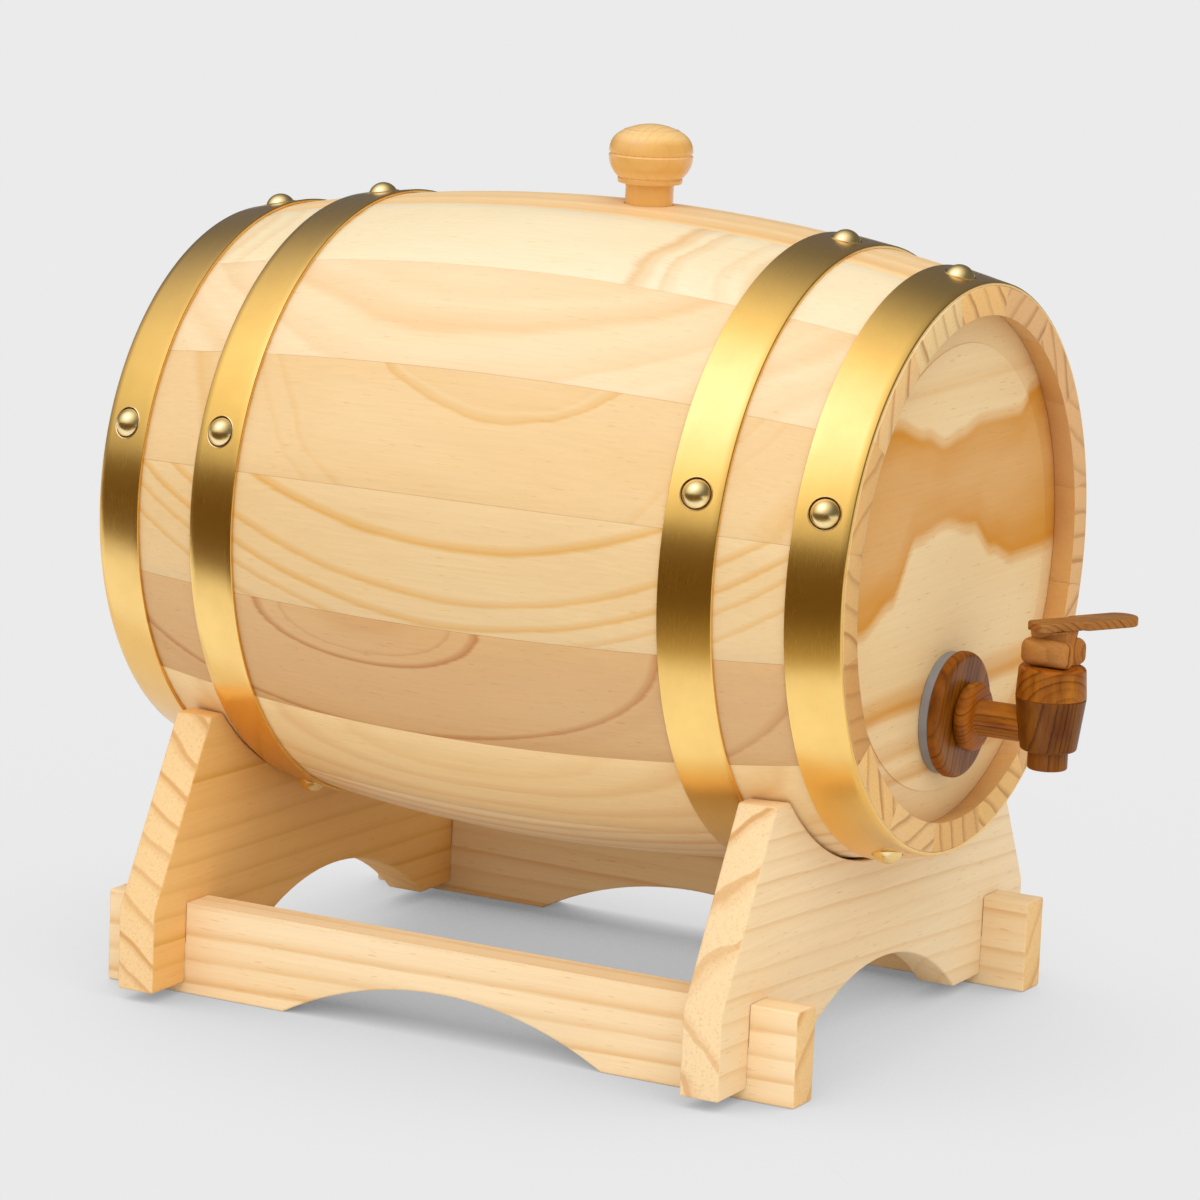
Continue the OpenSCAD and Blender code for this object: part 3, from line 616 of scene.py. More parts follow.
def timber(
    name, pale, line, place, turn, heart, stretch=0.0, lean=(0, 0), lines=None, ring=0.008, spread=0.7, strength=1.0,
    profile=LINE, wave=0.002, wave_length=0.11, seed=0.0, end_pale=None, end_line=None, end_ring=None, end_slant=0.6,
    end_fold=None, end_strength=0.6, fibre=0.08, fray=0.0012, dashes=0.4, roughness=0.45, fine=1.0, specular=0.14,
    coat=0.02, gloss=0.28, tone_scale=1.0, deep=None, band=None, back=None,
):
    """Solid wood, whose growth lines lie at distances from a heart and are cut by the piece's surface.

    The board's X axis runs across it, Y along its grain and Z out of its face. The heart is a place on
    these axes, and stretch says how fast the lines close along the grain. Lines holds the distance past
    the heart's own, the width and the strength of each line; without it they come evenly, a ring apart,
    with the given profile. A band function draws another figure instead.
    The lines of the end grain lie at a slant, which an end fold turns the other way below that place.
    Back is a darker tone painted as shade on the board's hidden side, where one is given.
    """
    material, bench = new_finish(name)
    spot = bench.node("ShaderNodeTexCoord", out=3)
    board = bench.mapped(spot, place, turn, way="TEXTURE")
    across, along, out = bench.split(board)

    # Growth lines that wander a little along the grain
    bend = (1.0 / wave_length, 0.44 / wave_length, 1.0 / wave_length)
    drift = bench.grain(board, bend, (seed, 1.7 * seed, 0.6 * seed), roughness=0.45)
    sway = bench.node("ShaderNodeSeparateColor", {}, (drift.out(1),))
    swing = 4 * wave
    side = across + (sway - 0.5) * swing + along * lean[0] - heart[0]
    depth = out + (sway.out(1) - 0.5) * swing + along * lean[1] - heart[2]
    run = (along - heart[1]) * stretch
    thread = [c * fine for c in (1000, 22, 1000)]
    fibres = bench.grain(board, thread, (0, seed, 0), roughness=0.6)
    frayed = (fibres - 0.5) * (fray / fine)
    distance = (side * side + run * run + depth * depth) ** 0.5 + frayed
    if band:
        late = band(bench, across + (sway - 0.5) * swing + frayed, along)
    elif lines:
        late = drawn_lines(bench, distance - sqrt(heart[0] ** 2 + heart[2] ** 2), lines)
    else:
        late = yearly_lines(bench, distance, ring, seed, spread, profile)

    # Slow changes of tone, fine fibres and short resin dashes
    cloud = [c * tone_scale for c in (24, 6, 24)]
    slow = bench.grain(board, cloud, (2 * seed, seed, 0), roughness=0.55)
    short = [c * fine for c in (1500, 125, 1500)]
    dash = bench.ramp(bench.grain(board, short, (seed, 0, seed), 1.0), ((0.68, 0.0), (0.77, 1.0)))
    base = bench.blend(bench.ramp(slow, ((0.3, 0.0), (0.7, 1.0))), pale, deep or warmer(pale))
    patchy = late * strength * (0.65 + 0.7 * slow)
    face_tone = bench.blend(patchy, base, line)
    face_tone = bench.blend(dash * dashes, face_tone, line)

    # End grain shows where a surface faces along the grain
    normal = bench.node("ShaderNodeTexCoord", out=1)
    lengthwise, outward = (turn.to_matrix() @ Vector(axis) for axis in ((0, 1, 0), (0, 0, 1)))
    end = bench.ramp(abs(bench.facing(normal, lengthwise)), ((0.45, 0.0), (0.75, 1.0)))
    if end_ring:
        height = across if end_fold is None else abs(across - end_fold)
        uneven = (sway - 0.5 + (slow - 0.5) * 1.1) * end_ring
        distance = height * cos(end_slant) + out * sin(end_slant) + uneven + 20 * end_ring
    streak = yearly_lines(bench, distance, end_ring or ring, seed, 0.65, END_LINE, "EASE")
    pore_size = [c * fine for c in (1100, 60, 1100)]
    pores = bench.ramp(bench.grain(board, pore_size, detail=2.0, roughness=0.6), ((0.54, 0.0), (0.68, 0.24)))
    end_face = bench.blend(streak * end_strength, end_pale or warmer(pale, 2.8), end_line or line)
    end_face = bench.blend(pores, end_face, end_line or line)
    tone = bench.blend(end, face_tone, end_face)
    # Painted shade: faces turned away from the board's face blend to the back tone
    if back:
        hidden = bench.ramp(bench.facing(normal, outward) * 0.5 + 0.5, ((0.1, 0.8), (0.3, 0.0)))
        tone = bench.blend(hidden, tone, back)
    value = 1 + (fibres - 0.5) * (2 * fibre)
    worn = bench.node("ShaderNodeHueSaturation", {}, {"Value": value, "Color": tone})

    relief = fibres * 0.6 + late * 0.08 + pores * end
    bump = bench.node("ShaderNodeBump", {}, {"Strength": 0.1, "Distance": 0.0004, "Height": relief})
    shade(bench, {
        "Base Color": worn, "Roughness": roughness + (fibres - 0.5) * 0.12 + end * 0.12, "Normal": bump,
        "Coat Weight": coat, "Coat Roughness": gloss, "Specular IOR Level": specular,
    })
    return material


def mottled(bench, cloud, start, tint, shares):
    """A tint that clouds make duller."""
    return bench.blend(bench.ramp(cloud, ((start, 0.0), (0.7, 1.0))), tint, dulled(tint, shares))


def satin_brass(name, tint, axis_height):
    """Brass brushed round the barrel."""
    material, bench = new_finish(name)
    spot = bench.node("ShaderNodeTexCoord", out=3)
    x, y, z = bench.split(spot)
    turn = x.sum("ARCTAN2", x, z - axis_height)
    lane = bench.node("ShaderNodeCombineXYZ", {}, (turn * 9, y * 5200, 0.0))
    brush = bench.noise(lane, 1.0, 3.0, 0.6)
    cloud = bench.noise(spot, 70.0, 3.0, 0.6)
    speck = bench.noise(spot, 2600.0, 1.0)
    tone = mottled(bench, cloud, 0.35, tint, (0.95, 0.93, 0.85))
    relief = brush * 0.9 + speck * 0.4
    bump = bench.node("ShaderNodeBump", {}, {"Strength": 0.09, "Distance": 0.0001, "Height": relief})
    shade(bench, {
        "Base Color": tone, "Metallic": 1.0, "Roughness": 0.25 + (brush - 0.5) * 0.12 + (cloud - 0.5) * 0.06,
        "Normal": bump, "Coat Weight": 0.55, "Coat Roughness": 0.22, "Coat IOR": 2.0,
    })
    return material


def polished_brass(name, tint):
    """Rivet heads, bright with a few fine marks."""
    material, bench = new_finish(name)
    spot = bench.node("ShaderNodeTexCoord", out=3)
    cloud = bench.noise(spot, 240.0, 3.0, 0.6)
    tone = mottled(bench, cloud, 0.35, tint, (0.9, 0.9, 0.9))
    shade(bench, {"Base Color": tone, "Metallic": 1.0, "Roughness": 0.26 + (cloud - 0.5) * 0.12})
    return material


def soft_seal(name, tint, roughness, cloudy):
    """Silicone or rubber with a faint mould grain."""
    material, bench = new_finish(name)
    spot = bench.node("ShaderNodeTexCoord", out=3)
    cloud = bench.noise(spot, 130.0, 2.0)
    grain = bench.noise(spot, 1900.0, 2.0)
    tone = mottled(bench, cloud, 0.3, tint, (0.88, 0.88, 0.88))
    bump = bench.node("ShaderNodeBump", {}, {"Strength": 0.08, "Distance": 0.0002, "Height": grain})
    shade(bench, {
        "Base Color": tone, "Roughness": roughness + (grain - 0.5) * 0.1, "Normal": bump,
        "Subsurface Weight": cloudy, "Subsurface Radius": (0.4, 0.4, 0.4), "Subsurface Scale": 0.004,
    })
    return material


# Barrel


class Curve:
    """Long arc of the staves, with distances along the barrel from its middle."""

    def __init__(self, sizes):
        self.half = sizes.length / 2
        rise = sizes.belly_radius - sizes.end_radius
        self.radius = (self.half**2 + rise**2) / (2 * rise)
        self.centre = sizes.belly_radius - self.radius
        self.wall = sizes.wall

    def outside(self, along, lift=0.0):
        return self.centre + sqrt((self.radius + lift) ** 2 - along**2)

    def inside(self, along):
        return self.outside(along, -self.wall)


def barrel_axis(sizes):
    return Vector((0, sizes.middle_y, sizes.axis_height))


def stave_outline(sizes):
    """Long section of a stave as (radius, along) pairs, with a groove for each head."""
    curve = Curve(sizes)
    half = curve.half
    shoulder = half - sizes.panel_depth - sizes.bevel_fall
    near, far = shoulder + sizes.fit, shoulder - sizes.tongue - sizes.fit
    deep = curve.inside(shoulder) + sizes.croze
    points = [(curve.outside(y), y) for y in evenly(half, 48)]
    points += [(curve.inside(half), half), (curve.inside(near), near), (deep, near), (deep, far)]
    points += [(curve.inside(y), y) for y in evenly(-far, 36)]
    points += [(deep, -far), (deep, -near), (curve.inside(near), -near), (curve.inside(half), -half)]
    return points


# Boards of the staves from the top towards -X: wood, line, heart, stretch, lean, wave with its length and fray, lines
BOARDS = (
    ("amber", "soft_line", (0.4, 0.0, 0.0), 0.35, (0.02, 0), (0.0024, 0.11, 0.0012),
     ((-20, 9, 0.6), (-5, 9, 0.28), (9, 8, 0.32), (20, 9, 0.6))),
    ("cream", "soft_line", (0.0, 0.0, -0.09), 0.0, (0, 0.031), (0.0008, 0.04, 0.0002),
     ((-8.4, 1.6, 0.3), (-6.6, 0.9, 0.22), (-4.1, 0.8, 0.4), (-3.0, 1.0, 0.65))),
    ("peach", "soft_line", (0.4, 0.010, 0.0), 1.8, (0, 0), (0.0064, 0.055, 0.0012),
     ((-9, 8, 0.08), (7, 12, 0.38), (30, 14, 0.28), (40, 8, 0.08), (52, 16, 0.3), (72, 14, 0.2))),
    ("straw", "late_wood", (0.4, -0.015, 0.0), 2.5, (0, 0), (0.0056, 0.04, 0.0014),
     ((-12, 14, 0.15), (-6, 4.6, 0.55), (46, 4, 0.2), (58, 4, 0.14), (100, 16, 0.36))),
    ("gold", "late_wood", (0.4, -0.003, 0.0), 1.37, (0, 0), (0.0020, 0.07, 0.0012),
     ((-26, 3, 0.3), (-6, 3.8, 0.8), (12, 3.2, 0.62), (21, 3.0, 0.68), (28, 2.5, 0.52), (37, 2.5, 0.52))),
    ("tan", "brown_line", (0.025, 0.031, 0.0), 0.417, (0, 0), (0.0018, 0.06, 0.0010),
     ((-21, 14, 0.2), (-9.5, 1.0, 0.35), (-5, 1.9, 0.85), (24, 1.9, 0.75), (27, 7, 0.12), (46, 2.2, 0.5))),
    ("honey", "soft_line", (0.022, -0.006, 0.0), 0.3, (0, 0), (0.0026, 0.05, 0.0012),
     ((-7, 5, 0.22), (3, 5, 0.42), (15, 5, 0.4), (29, 5, 0.4))),
    ("peach", "soft_line", (0.4, 0.02, 0.0), 0.7, (0, 0), (0.0022, 0.08, 0.0012),
     ((-17, 4, 0.6), (-7, 5, 0.7), (3, 4, 0.55), (14, 5, 0.7))),
)
BOARD_ORDER = (0, 1, 2, 3, 4, 5, 6, 7, 3, 6, 1, 5, 4, 2, 3, 1)
# Staves from this one on get the rim colour on their ends as painted shade
SHADED = 10  # First of the staves whose ends have the shaded rim's colour


def stave_finish(settings, index):
    """Pine of one stave, as sawn from its own board."""
    sizes, colours = settings.barrel, settings.colours
    wood, line, heart, stretch, lean, (wave, wave_length, fray), lines = BOARDS[BOARD_ORDER[index]]
    turn = tau * index / sizes.staves
    face = Vector((-sin(turn), 0, cos(turn)))
    # Every stave's inner side takes the back tone as painted shade
    return timber(
        f"pine_stave_{index + 1:02d}", getattr(colours, wood), getattr(colours, line),
        barrel_axis(sizes) + face * sizes.belly_radius, lie((0, 1, 0), face), heart, stretch, lean, lines,
        wave=wave, wave_length=wave_length, fray=fray, seed=1.37 * index + 0.3, back=colours.stave_back,
        end_pale=colours.rim if index >= SHADED else None, end_line=colours.end_wood, end_ring=0.0092,
        end_slant=1.1 * sin(2.3 * index + 0.7), end_strength=0.8,
    )


class MakeStaves(bpy.types.Operator):
    """Models one stave, copies it round the barrel and bores the bung hole"""

    bl_idname = "dispenser.make_staves"
    bl_label = "Staves"

    def execute(self, context):
        settings = context.scene.dispenser
        sizes, axis = settings.barrel, barrel_axis(settings.barrel)
        pitch = tau / sizes.staves
        side = Vector((sin(pitch / 2), 0, cos(pitch / 2)))
        points = [axis + side * radius + Vector((0, along, 0)) for radius, along in stave_outline(sizes)]
        first = draw("stave_one", points)
        bpy.ops.mesh.edge_face_add()
        bpy.ops.mesh.spin(steps=6, angle=pitch, center=axis, axis=(0, 1, 0))
        weld()
        ease(first, sizes.seam, segments=2, sharp=50)
        for index, node in enumerate(STAVES):
            stave = copy_turned(first, f"{node}_wood", -index * pitch, axis)
            if index == 0:
                surface = sizes.axis_height + sizes.belly_radius
                bore(stave, (0, settings.bung.y, surface), settings.bung.hole_radius, 3 * sizes.wall)
            hand_over(stave, stave_finish(settings, index), "barrel", (node,), smooth=30)
        remove(first)
        return {"FINISHED"}


def head_outline(sizes):
    """Half section of a head as (radius, depth) pairs from its panel inwards."""
    curve = Curve(sizes)
    shoulder = curve.half - sizes.panel_depth - sizes.bevel_fall
    edge = curve.inside(shoulder) - sizes.fit
    panel, tongue = edge - sizes.bevel_width, curve.inside(shoulder) + sizes.croze - sizes.fit
    fall, back = sizes.bevel_fall, sizes.bevel_fall + sizes.tongue
    arris = ((-0.0004, 0), (-0.0001, 0.00006), (0, 0.0004), (0.0006, 0.00062))
    points = [(0, 0), (panel * 0.5, 0)] + [(panel + out, depth) for out, depth in arris]
    points += [(edge, fall), (tongue, fall), (tongue, back), (edge, back)]
    return points + [(edge, sizes.head_thickness), (0, sizes.head_thickness)]


# Edges of the broad resinous band across a head, as places across and up from its middle in mm
BAND_TOP = ((-90, 55), (-51, 56), (-27, 50), (-11, 45), (3, 47), (18, 50), (51, 50), (63, 57), (90, 62))
BAND_FOOT = ((-92, -18), (-72, -14), (-49, -6), (-31, 14), (-8, 17), (16, 13), (33, 3), (52, -3), (90, -3))


def head_band(bench, down, along):
    """Strength of the resinous wood in a head: one broad band with darker edges, and two thin streaks."""
    reach, low, high = 0.095, -0.03, 0.07
    share = along / (2 * reach) + 0.5

    def edge(points):
        stops = [(x / 1000 / (2 * reach) + 0.5, (z / 1000 - low) / (high - low)) for x, z in points]
        return bench.ramp(share, stops, "EASE") * (high - low) + low

    above = 0 - down - edge(BAND_FOOT)
    below = edge(BAND_TOP) + down
    inside = above.sum("MINIMUM", above, below)
    depths = ((0.12, 0.0), (0.175, 0.4), (0.25, 0.92), (0.34, 0.84), (0.55, 0.7), (1.0, 0.64))
    band = bench.ramp(inside * 20 + 0.2, depths, "EASE")
    streaks = drawn_lines(bench, down + along * 0.02, ((-66, 5, 0.2), (44, 11, 0.75), (60, 8, 0.4), (70, 6, 0.5)))
    return band.sum("MAXIMUM", band, streaks)


def head_finish(settings, name, panel, face, seed):
    """Honey pine of a head, with resinous bands across it."""
    colours = settings.colours
    return timber(
        name, colours.head, colours.head_band, panel, lie((1, 0, 0), face), (0, 0, 0), wave=0.0016, wave_length=0.05,
        seed=seed, band=head_band,
    )


class MakeHeads(bpy.types.Operator):
    """Turns the two heads and bores the front one for the tap"""

    bl_idname = "dispenser.make_heads"
    bl_label = "Heads"

    def execute(self, context):
        settings = context.scene.dispenser
        sizes, tap = settings.barrel, settings.tap
        outline = head_outline(sizes)
        for end, node, seed in ((-1, "front_head", 2.43), (1, "rear_head", 6.18)):
            panel = barrel_axis(sizes) + Vector((0, end * (sizes.length / 2 - sizes.panel_depth), 0))
            head = turned(f"{node}_wood", outline, panel, (0, -end, 0), steps=128)
            if end < 0:
                hole = (0, panel.y, tap.stem_height)
                bore(head, hole, tap.tail_radius + sizes.fit, 4 * sizes.head_thickness, (pi / 2, 0, 0))
            finish = head_finish(settings, f"pine_{node}", panel, Vector((0, end, 0)), seed)
            hand_over(head, finish, "barrel", (node,), smooth=25)
        return {"FINISHED"}


def hoop_places(sizes):
    """Name of each hoop with its distance along the barrel from its middle."""
    places = (-sizes.outer_middle, -sizes.inner_middle, sizes.inner_middle, sizes.outer_middle)
    return list(zip(HOOPS, places))


def hoop_outline(curve, sizes, along):
    """Section of a hoop as (radius, along) pairs, with its outer edges rounded."""
    low, high = along - sizes.width / 2, along + sizes.width / 2
    inner, outer, edge = sizes.lift, sizes.lift + sizes.thickness, sizes.edge
    inside = [low + (high - low) * i / 6 for i in range(7)]
    outside = [high - edge + (low - high + 2 * edge) * i / 8 for i in range(9)]
    turns = [radians(t) for t in (0, 30, 60)]

    def corner(end, inwards):
        return [(curve.outside(end, outer - edge * (1 - sin(t))), end + inwards * edge * (1 - cos(t))) for t in turns]

    points = [(curve.outside(y, inner), y) for y in inside] + corner(high, -1)
    return points + [(curve.outside(y, outer), y) for y in outside] + corner(low, 1)[::-1]


class MakeHoops(bpy.types.Operator):
    """Turns the four brass hoops to the curve of the staves"""

    bl_idname = "dispenser.make_hoops"
    bl_label = "Hoops"

    def execute(self, context):
        settings = context.scene.dispenser
        curve, axis = Curve(settings.barrel), barrel_axis(settings.barrel)
        finish = satin_brass("satin_brass", settings.colours.brass, settings.barrel.axis_height)
        for name, along in hoop_places(settings.hoops):
            outline = hoop_outline(curve, settings.hoops, along)
            band = turned_ring(f"{name}_hoop_band", outline, axis, (0, 1, 0), steps=192)
            hand_over(band, finish, "barrel", (f"{name}_hoop",), smooth=40)
        return {"FINISHED"}


class MakeRivets(bpy.types.Operator):
    """Turns a domed rivet for each hoop and copies it round the hoop"""

    bl_idname = "dispenser.make_rivets"
    bl_label = "Rivets"

    def execute(self, context):
        settings = context.scene.dispenser
        sizes, curve, axis = settings.hoops, Curve(settings.barrel), barrel_axis(settings.barrel)
        radius = sizes.rivet_radius
        ring = radius + sizes.rivet_ring
        lip = ring + sizes.rivet_ring
        foot, edge, crown = -0.0003, 0.00004, 0.00016
        outline = [(0, foot), (lip, foot), (lip, edge), ((lip + ring) / 2, crown), (ring, edge)]
        outline += dome(radius, sizes.rivet_height, 0, steps=14)
        bright = polished_brass("polished_brass", settings.colours.rivet)
        # The second finish is painted shadow for the ring at each dome's foot
        shadow_ring = polished_brass("tarnished_brass", settings.colours.tarnish)
        seat = sizes.lift + sizes.thickness
        for name, along in hoop_places(sizes):
            tilt = asin(along / curve.radius)
            normal = Vector((0, sin(tilt), cos(tilt)))
            spot = axis + Vector((0, along, curve.outside(along))) + normal * seat
            first = turned(f"{name}_rivet_heads", outline, spot, normal, steps=40)
            self.paint_shadow_ring(first, (bright, shadow_ring), spot, radius, ring)
            turns = (sizes.side_rivet, sizes.lower_rivet, -sizes.lower_rivet, -sizes.side_rivet)
            copies = [copy_turned(first, f"{name}_rivet", -turn, axis) for turn in turns]
            take_up(first)
            for copy in copies:
                copy.select_set(True)
            bpy.ops.object.join()
            hand_over(first, None, "barrel", (f"{name}_rivets",), smooth=45)
        return {"FINISHED"}

    def paint_shadow_ring(self, rivet, finishes, spot, inner, outer):
        """Gives the narrow ring round a rivet's dome the second of two finishes, a dark painted shadow at the dome's
        foot.
        """
        for finish in finishes:
            rivet.data.materials.append(finish)
        choose(rivet, "FACE", lambda face: inner < (face.center - spot).length < outer)
        rivet.active_material_index = 1
        bpy.ops.object.material_slot_assign()
        bpy.ops.object.mode_set(mode="OBJECT")


# Stand


def saddle_arc(sizes, axis_height, radius, steps=30):
    """Points of a saddle from the left horn to the right one."""
    reach = asin(sqrt(radius**2 - (axis_height - sizes.horn_height) ** 2) / radius)
    return [(radius * sin(t), axis_height - radius * cos(t)) for t in evenly(reach, steps)]


# Boards of the cradles: side, node, wood, line, heart, lean, ring, strength, seed, and the end grain's ring, slant in
# degrees, fold and warmth
CRADLES = (
    (-1, "front_cradle", "stand", "stand_line", (0.07, 0.0, 0.03), -0.066, 0.0072, 0.4, 3.12,
     (0.0150, -45, 0.014, 1.0)),
    # The rear cradle's deeper pine and its warmer end grain are painted shade
    (1, "rear_cradle", "shaded_stand", "late_wood", (0.09, 0.0, -0.07), 0.02, 0.0078, 1.0, 8.47,
     (0.0100, -28, None, 2.0)),
)
GRAIN_HEIGHT = 0.05  # Height that the grain of a cradle is measured from


class MakeCradles(bpy.types.Operator):
    """Draws the cradle board, cuts its saddle to the barrel's taper and makes the second cradle"""

    bl_idname = "dispenser.make_cradles"
    bl_label = "Cradles"

    def execute(self, context):
        settings = context.scene.dispenser
        sizes, barrel, curve = settings.stand, settings.barrel, Curve(settings.barrel)
        colours = settings.colours
        for side, node, wood, line, heart, lean, ring, strength, seed, (end_ring, slant, fold, warmth) in CRADLES:
            cradle = self.model(sizes, barrel, curve, side, f"{node}_board")
            place = (0, barrel.middle_y + side * sizes.cradle_y, GRAIN_HEIGHT)
            finish = timber(
                f"pine_{node}", getattr(colours, wood), getattr(colours, line), place, lie((1, 0, 0), (0, side, 0)),
                heart, stretch=0.05, lean=(lean, 0), ring=ring, spread=0.8, strength=strength, profile=THIN_LINE,
                wave=0.0013, wave_length=0.12, seed=seed, end_pale=warmer(colours.stand, warmth),
                end_line=colours.stand_end, end_ring=end_ring, end_slant=radians(slant), end_fold=fold,
                end_strength=0.85,
            )
            hand_over(cradle, finish, "stand", (node,), smooth=30)
        return {"FINISHED"}

    def model(self, sizes, barrel, curve, side, name):
        """Draws the board at its outer face, extrudes it inwards and rounds its edges, apart from the laps."""
        outside, inside = sizes.cradle_y + sizes.board / 2, sizes.cradle_y - sizes.board / 2
        outer_y = barrel.middle_y + side * outside
        outer = saddle_arc(sizes, barrel.axis_height, curve.outside(outside) + sizes.saddle_outer)
        inner = saddle_arc(sizes, barrel.axis_height, curve.outside(inside) + sizes.saddle_inner)
        foot, edge, horn = sizes.half_width, sizes.foot_edge, sizes.horn_height
        low, lap = sizes.foot_clearance, sizes.lap
        near, far = (sizes.rail_x + s * (sizes.rail_thickness / 2 + sizes.fit) for s in (-1, 1))
        tip = outer[-1][0] + sizes.horn_width
        right = [(tip, horn), (foot, edge), (foot, low), (far, low), (far, lap), (near, lap), (near, low)]
        left = [(-x, z) for x, z in reversed(right)]
        arch = bow(sizes.arch_half, sizes.arch_rise, low)
        outline = outer + right + arch[::-1] + left
        through = Vector((0, -side * sizes.board, 0))
        cradle = plank(name, [(x, outer_y, z) for x, z in outline], through)

        # The saddle widens towards the belly
        for (x, z), (wide_x, wide_z) in zip(outer, inner):
            spot = Vector((x, outer_y, z)) + through
            choose(cradle, "VERT", lambda vertex: (vertex.co - spot).length < SLACK)
            bpy.ops.transform.translate(value=(wide_x - x, 0, wide_z - z))
        weld()
        ease(cradle, sizes.edge, spare=lambda p: near - SLACK < abs(p.x) < far + SLACK and p.z < lap + SLACK)
        return cradle


class MakeRails(bpy.types.Operator):
    """Draws the arched rails with their laps"""

    bl_idname = "dispenser.make_rails"
    bl_label = "Rails"

    def execute(self, context):
        settings = context.scene.dispenser
        sizes, barrel, colours = settings.stand, settings.barrel, settings.colours
        half, height, lap = sizes.rail_half, sizes.rail_height, sizes.lap
        slot = sizes.board / 2 + sizes.fit
        near, far = sizes.cradle_y - slot, sizes.cradle_y + slot
        top = [(-half, 0), (-half, height), (-far, height), (-far, lap), (-near, lap), (-near, height)]
        outline = top + [(-y, z) for y, z in reversed(top)]
        outline += bow(sizes.rail_arch_half, sizes.rail_arch_rise, 0)[::-1]

        def in_lap(p):
            return near - SLACK < abs(p.y - barrel.middle_y) < far + SLACK and p.z > lap - SLACK

        for side, node, seed in ((-1, "left_rail", 5.21), (1, "right_rail", 9.64)):
            face_x = side * (sizes.rail_x + sizes.rail_thickness / 2)
            points = [(face_x, barrel.middle_y + y, z) for y, z in outline]
            rail = plank(f"{node}_board", points, Vector((-side * sizes.rail_thickness, 0, 0)))
            weld()
            ease(rail, sizes.edge, spare=in_lap)
            finish = timber(
                f"pine_{node}", colours.stand, colours.stand_line, (face_x, barrel.middle_y, height / 2),
                lie((0, 1, 0), (side, 0, 0)), heart=(0.05, 0.0, -0.04), stretch=0.04, lean=(0.015, 0), ring=0.0068,
                spread=0.75, strength=0.6, wave=0.0013, wave_length=0.16, seed=seed,
                end_pale=warmer(colours.stand, 2.5), end_line=colours.stand_end, end_ring=0.013, end_slant=0.9,
                end_strength=0.75,
            )
            hand_over(rail, finish, "stand", (node,), smooth=30)
        return {"FINISHED"}


# Tap

# Joints between the turned pieces of the tap: spigot of the spout, register of the bonnet and groove at the belt
SPIGOT_WALL, SPIGOT_LENGTH = 0.0014, 0.002
REGISTER_WALL, REGISTER_DEPTH, REGISTER_FIT = 0.00235, 0.002, 0.0001
BELT_GROOVE = 0.0003

# Shares of the wood's colour in its deep clouds, for the turned pieces and for the key and lever
TAP_DEEP, KEY_DEEP = (0.52, 0.4, 0.3), (0.8, 0.72, 0.6)


def tap_finish(
    settings, name, place, grain, face, heart, ring, seed, light=1.0, strength=0.9, stretch=0.0, wood="walnut",
    deep=TAP_DEEP,
):
    """Dark figured wood of one tap piece."""
    colours = settings.colours
    pale = Vector(getattr(colours, wood)) * light
    return timber(
        name, pale, colours.walnut_line, place, lie(grain, face), heart, stretch, ring=ring, spread=0.8,
        strength=strength, wave=0.0005, wave_length=0.018, seed=seed, end_strength=0.7, fibre=0.22, fray=0.0012,
        dashes=0.6, roughness=0.36, fine=2.4, specular=0.12, coat=0.04, tone_scale=7.0, deep=dulled(pale, deep),
    )


class MakeSeals(bpy.types.Operator):
    """Turns the gasket that shows and finishes the hidden seals"""

    bl_idname = "dispenser.make_seals"
    bl_label = "Seals"

    def execute(self, context):
        settings = context.scene.dispenser
        sizes, fit = settings.tap, settings.barrel.fit
        cloudy = soft_seal("cloudy_silicone", settings.colours.silicone, roughness=0.36, cloudy=0.25)
        rubber = soft_seal("black_rubber", settings.colours.rubber, roughness=0.5, cloudy=0.0)
        hole, rim, thick = sizes.tail_radius + fit, sizes.gasket_radius, sizes.gasket_thickness
        lip, waist = 0.0005, 0.0003
        outline = [(hole, 0), (rim - lip, 0), *arc((rim - lip, lip), lip, -60, 0, 2)]
        outline += [(rim - waist, thick / 2), *arc((rim - lip, thick - lip), lip, 0, 90, 3), (hole, thick)]
        place = (0, sizes.panel_y, sizes.stem_height)
        gasket = turned_ring("outer_gasket_ring", outline, place, (0, -1, 0), steps=112)
        hand_over(gasket, cloudy, "barrel", ("outer_gasket",))
        for node, finish in (("inner_gasket", cloudy), ("bung_sleeve", cloudy), ("plug_seals", rubber)):
            dress(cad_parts[node], finish)
        return {"FINISHED"}


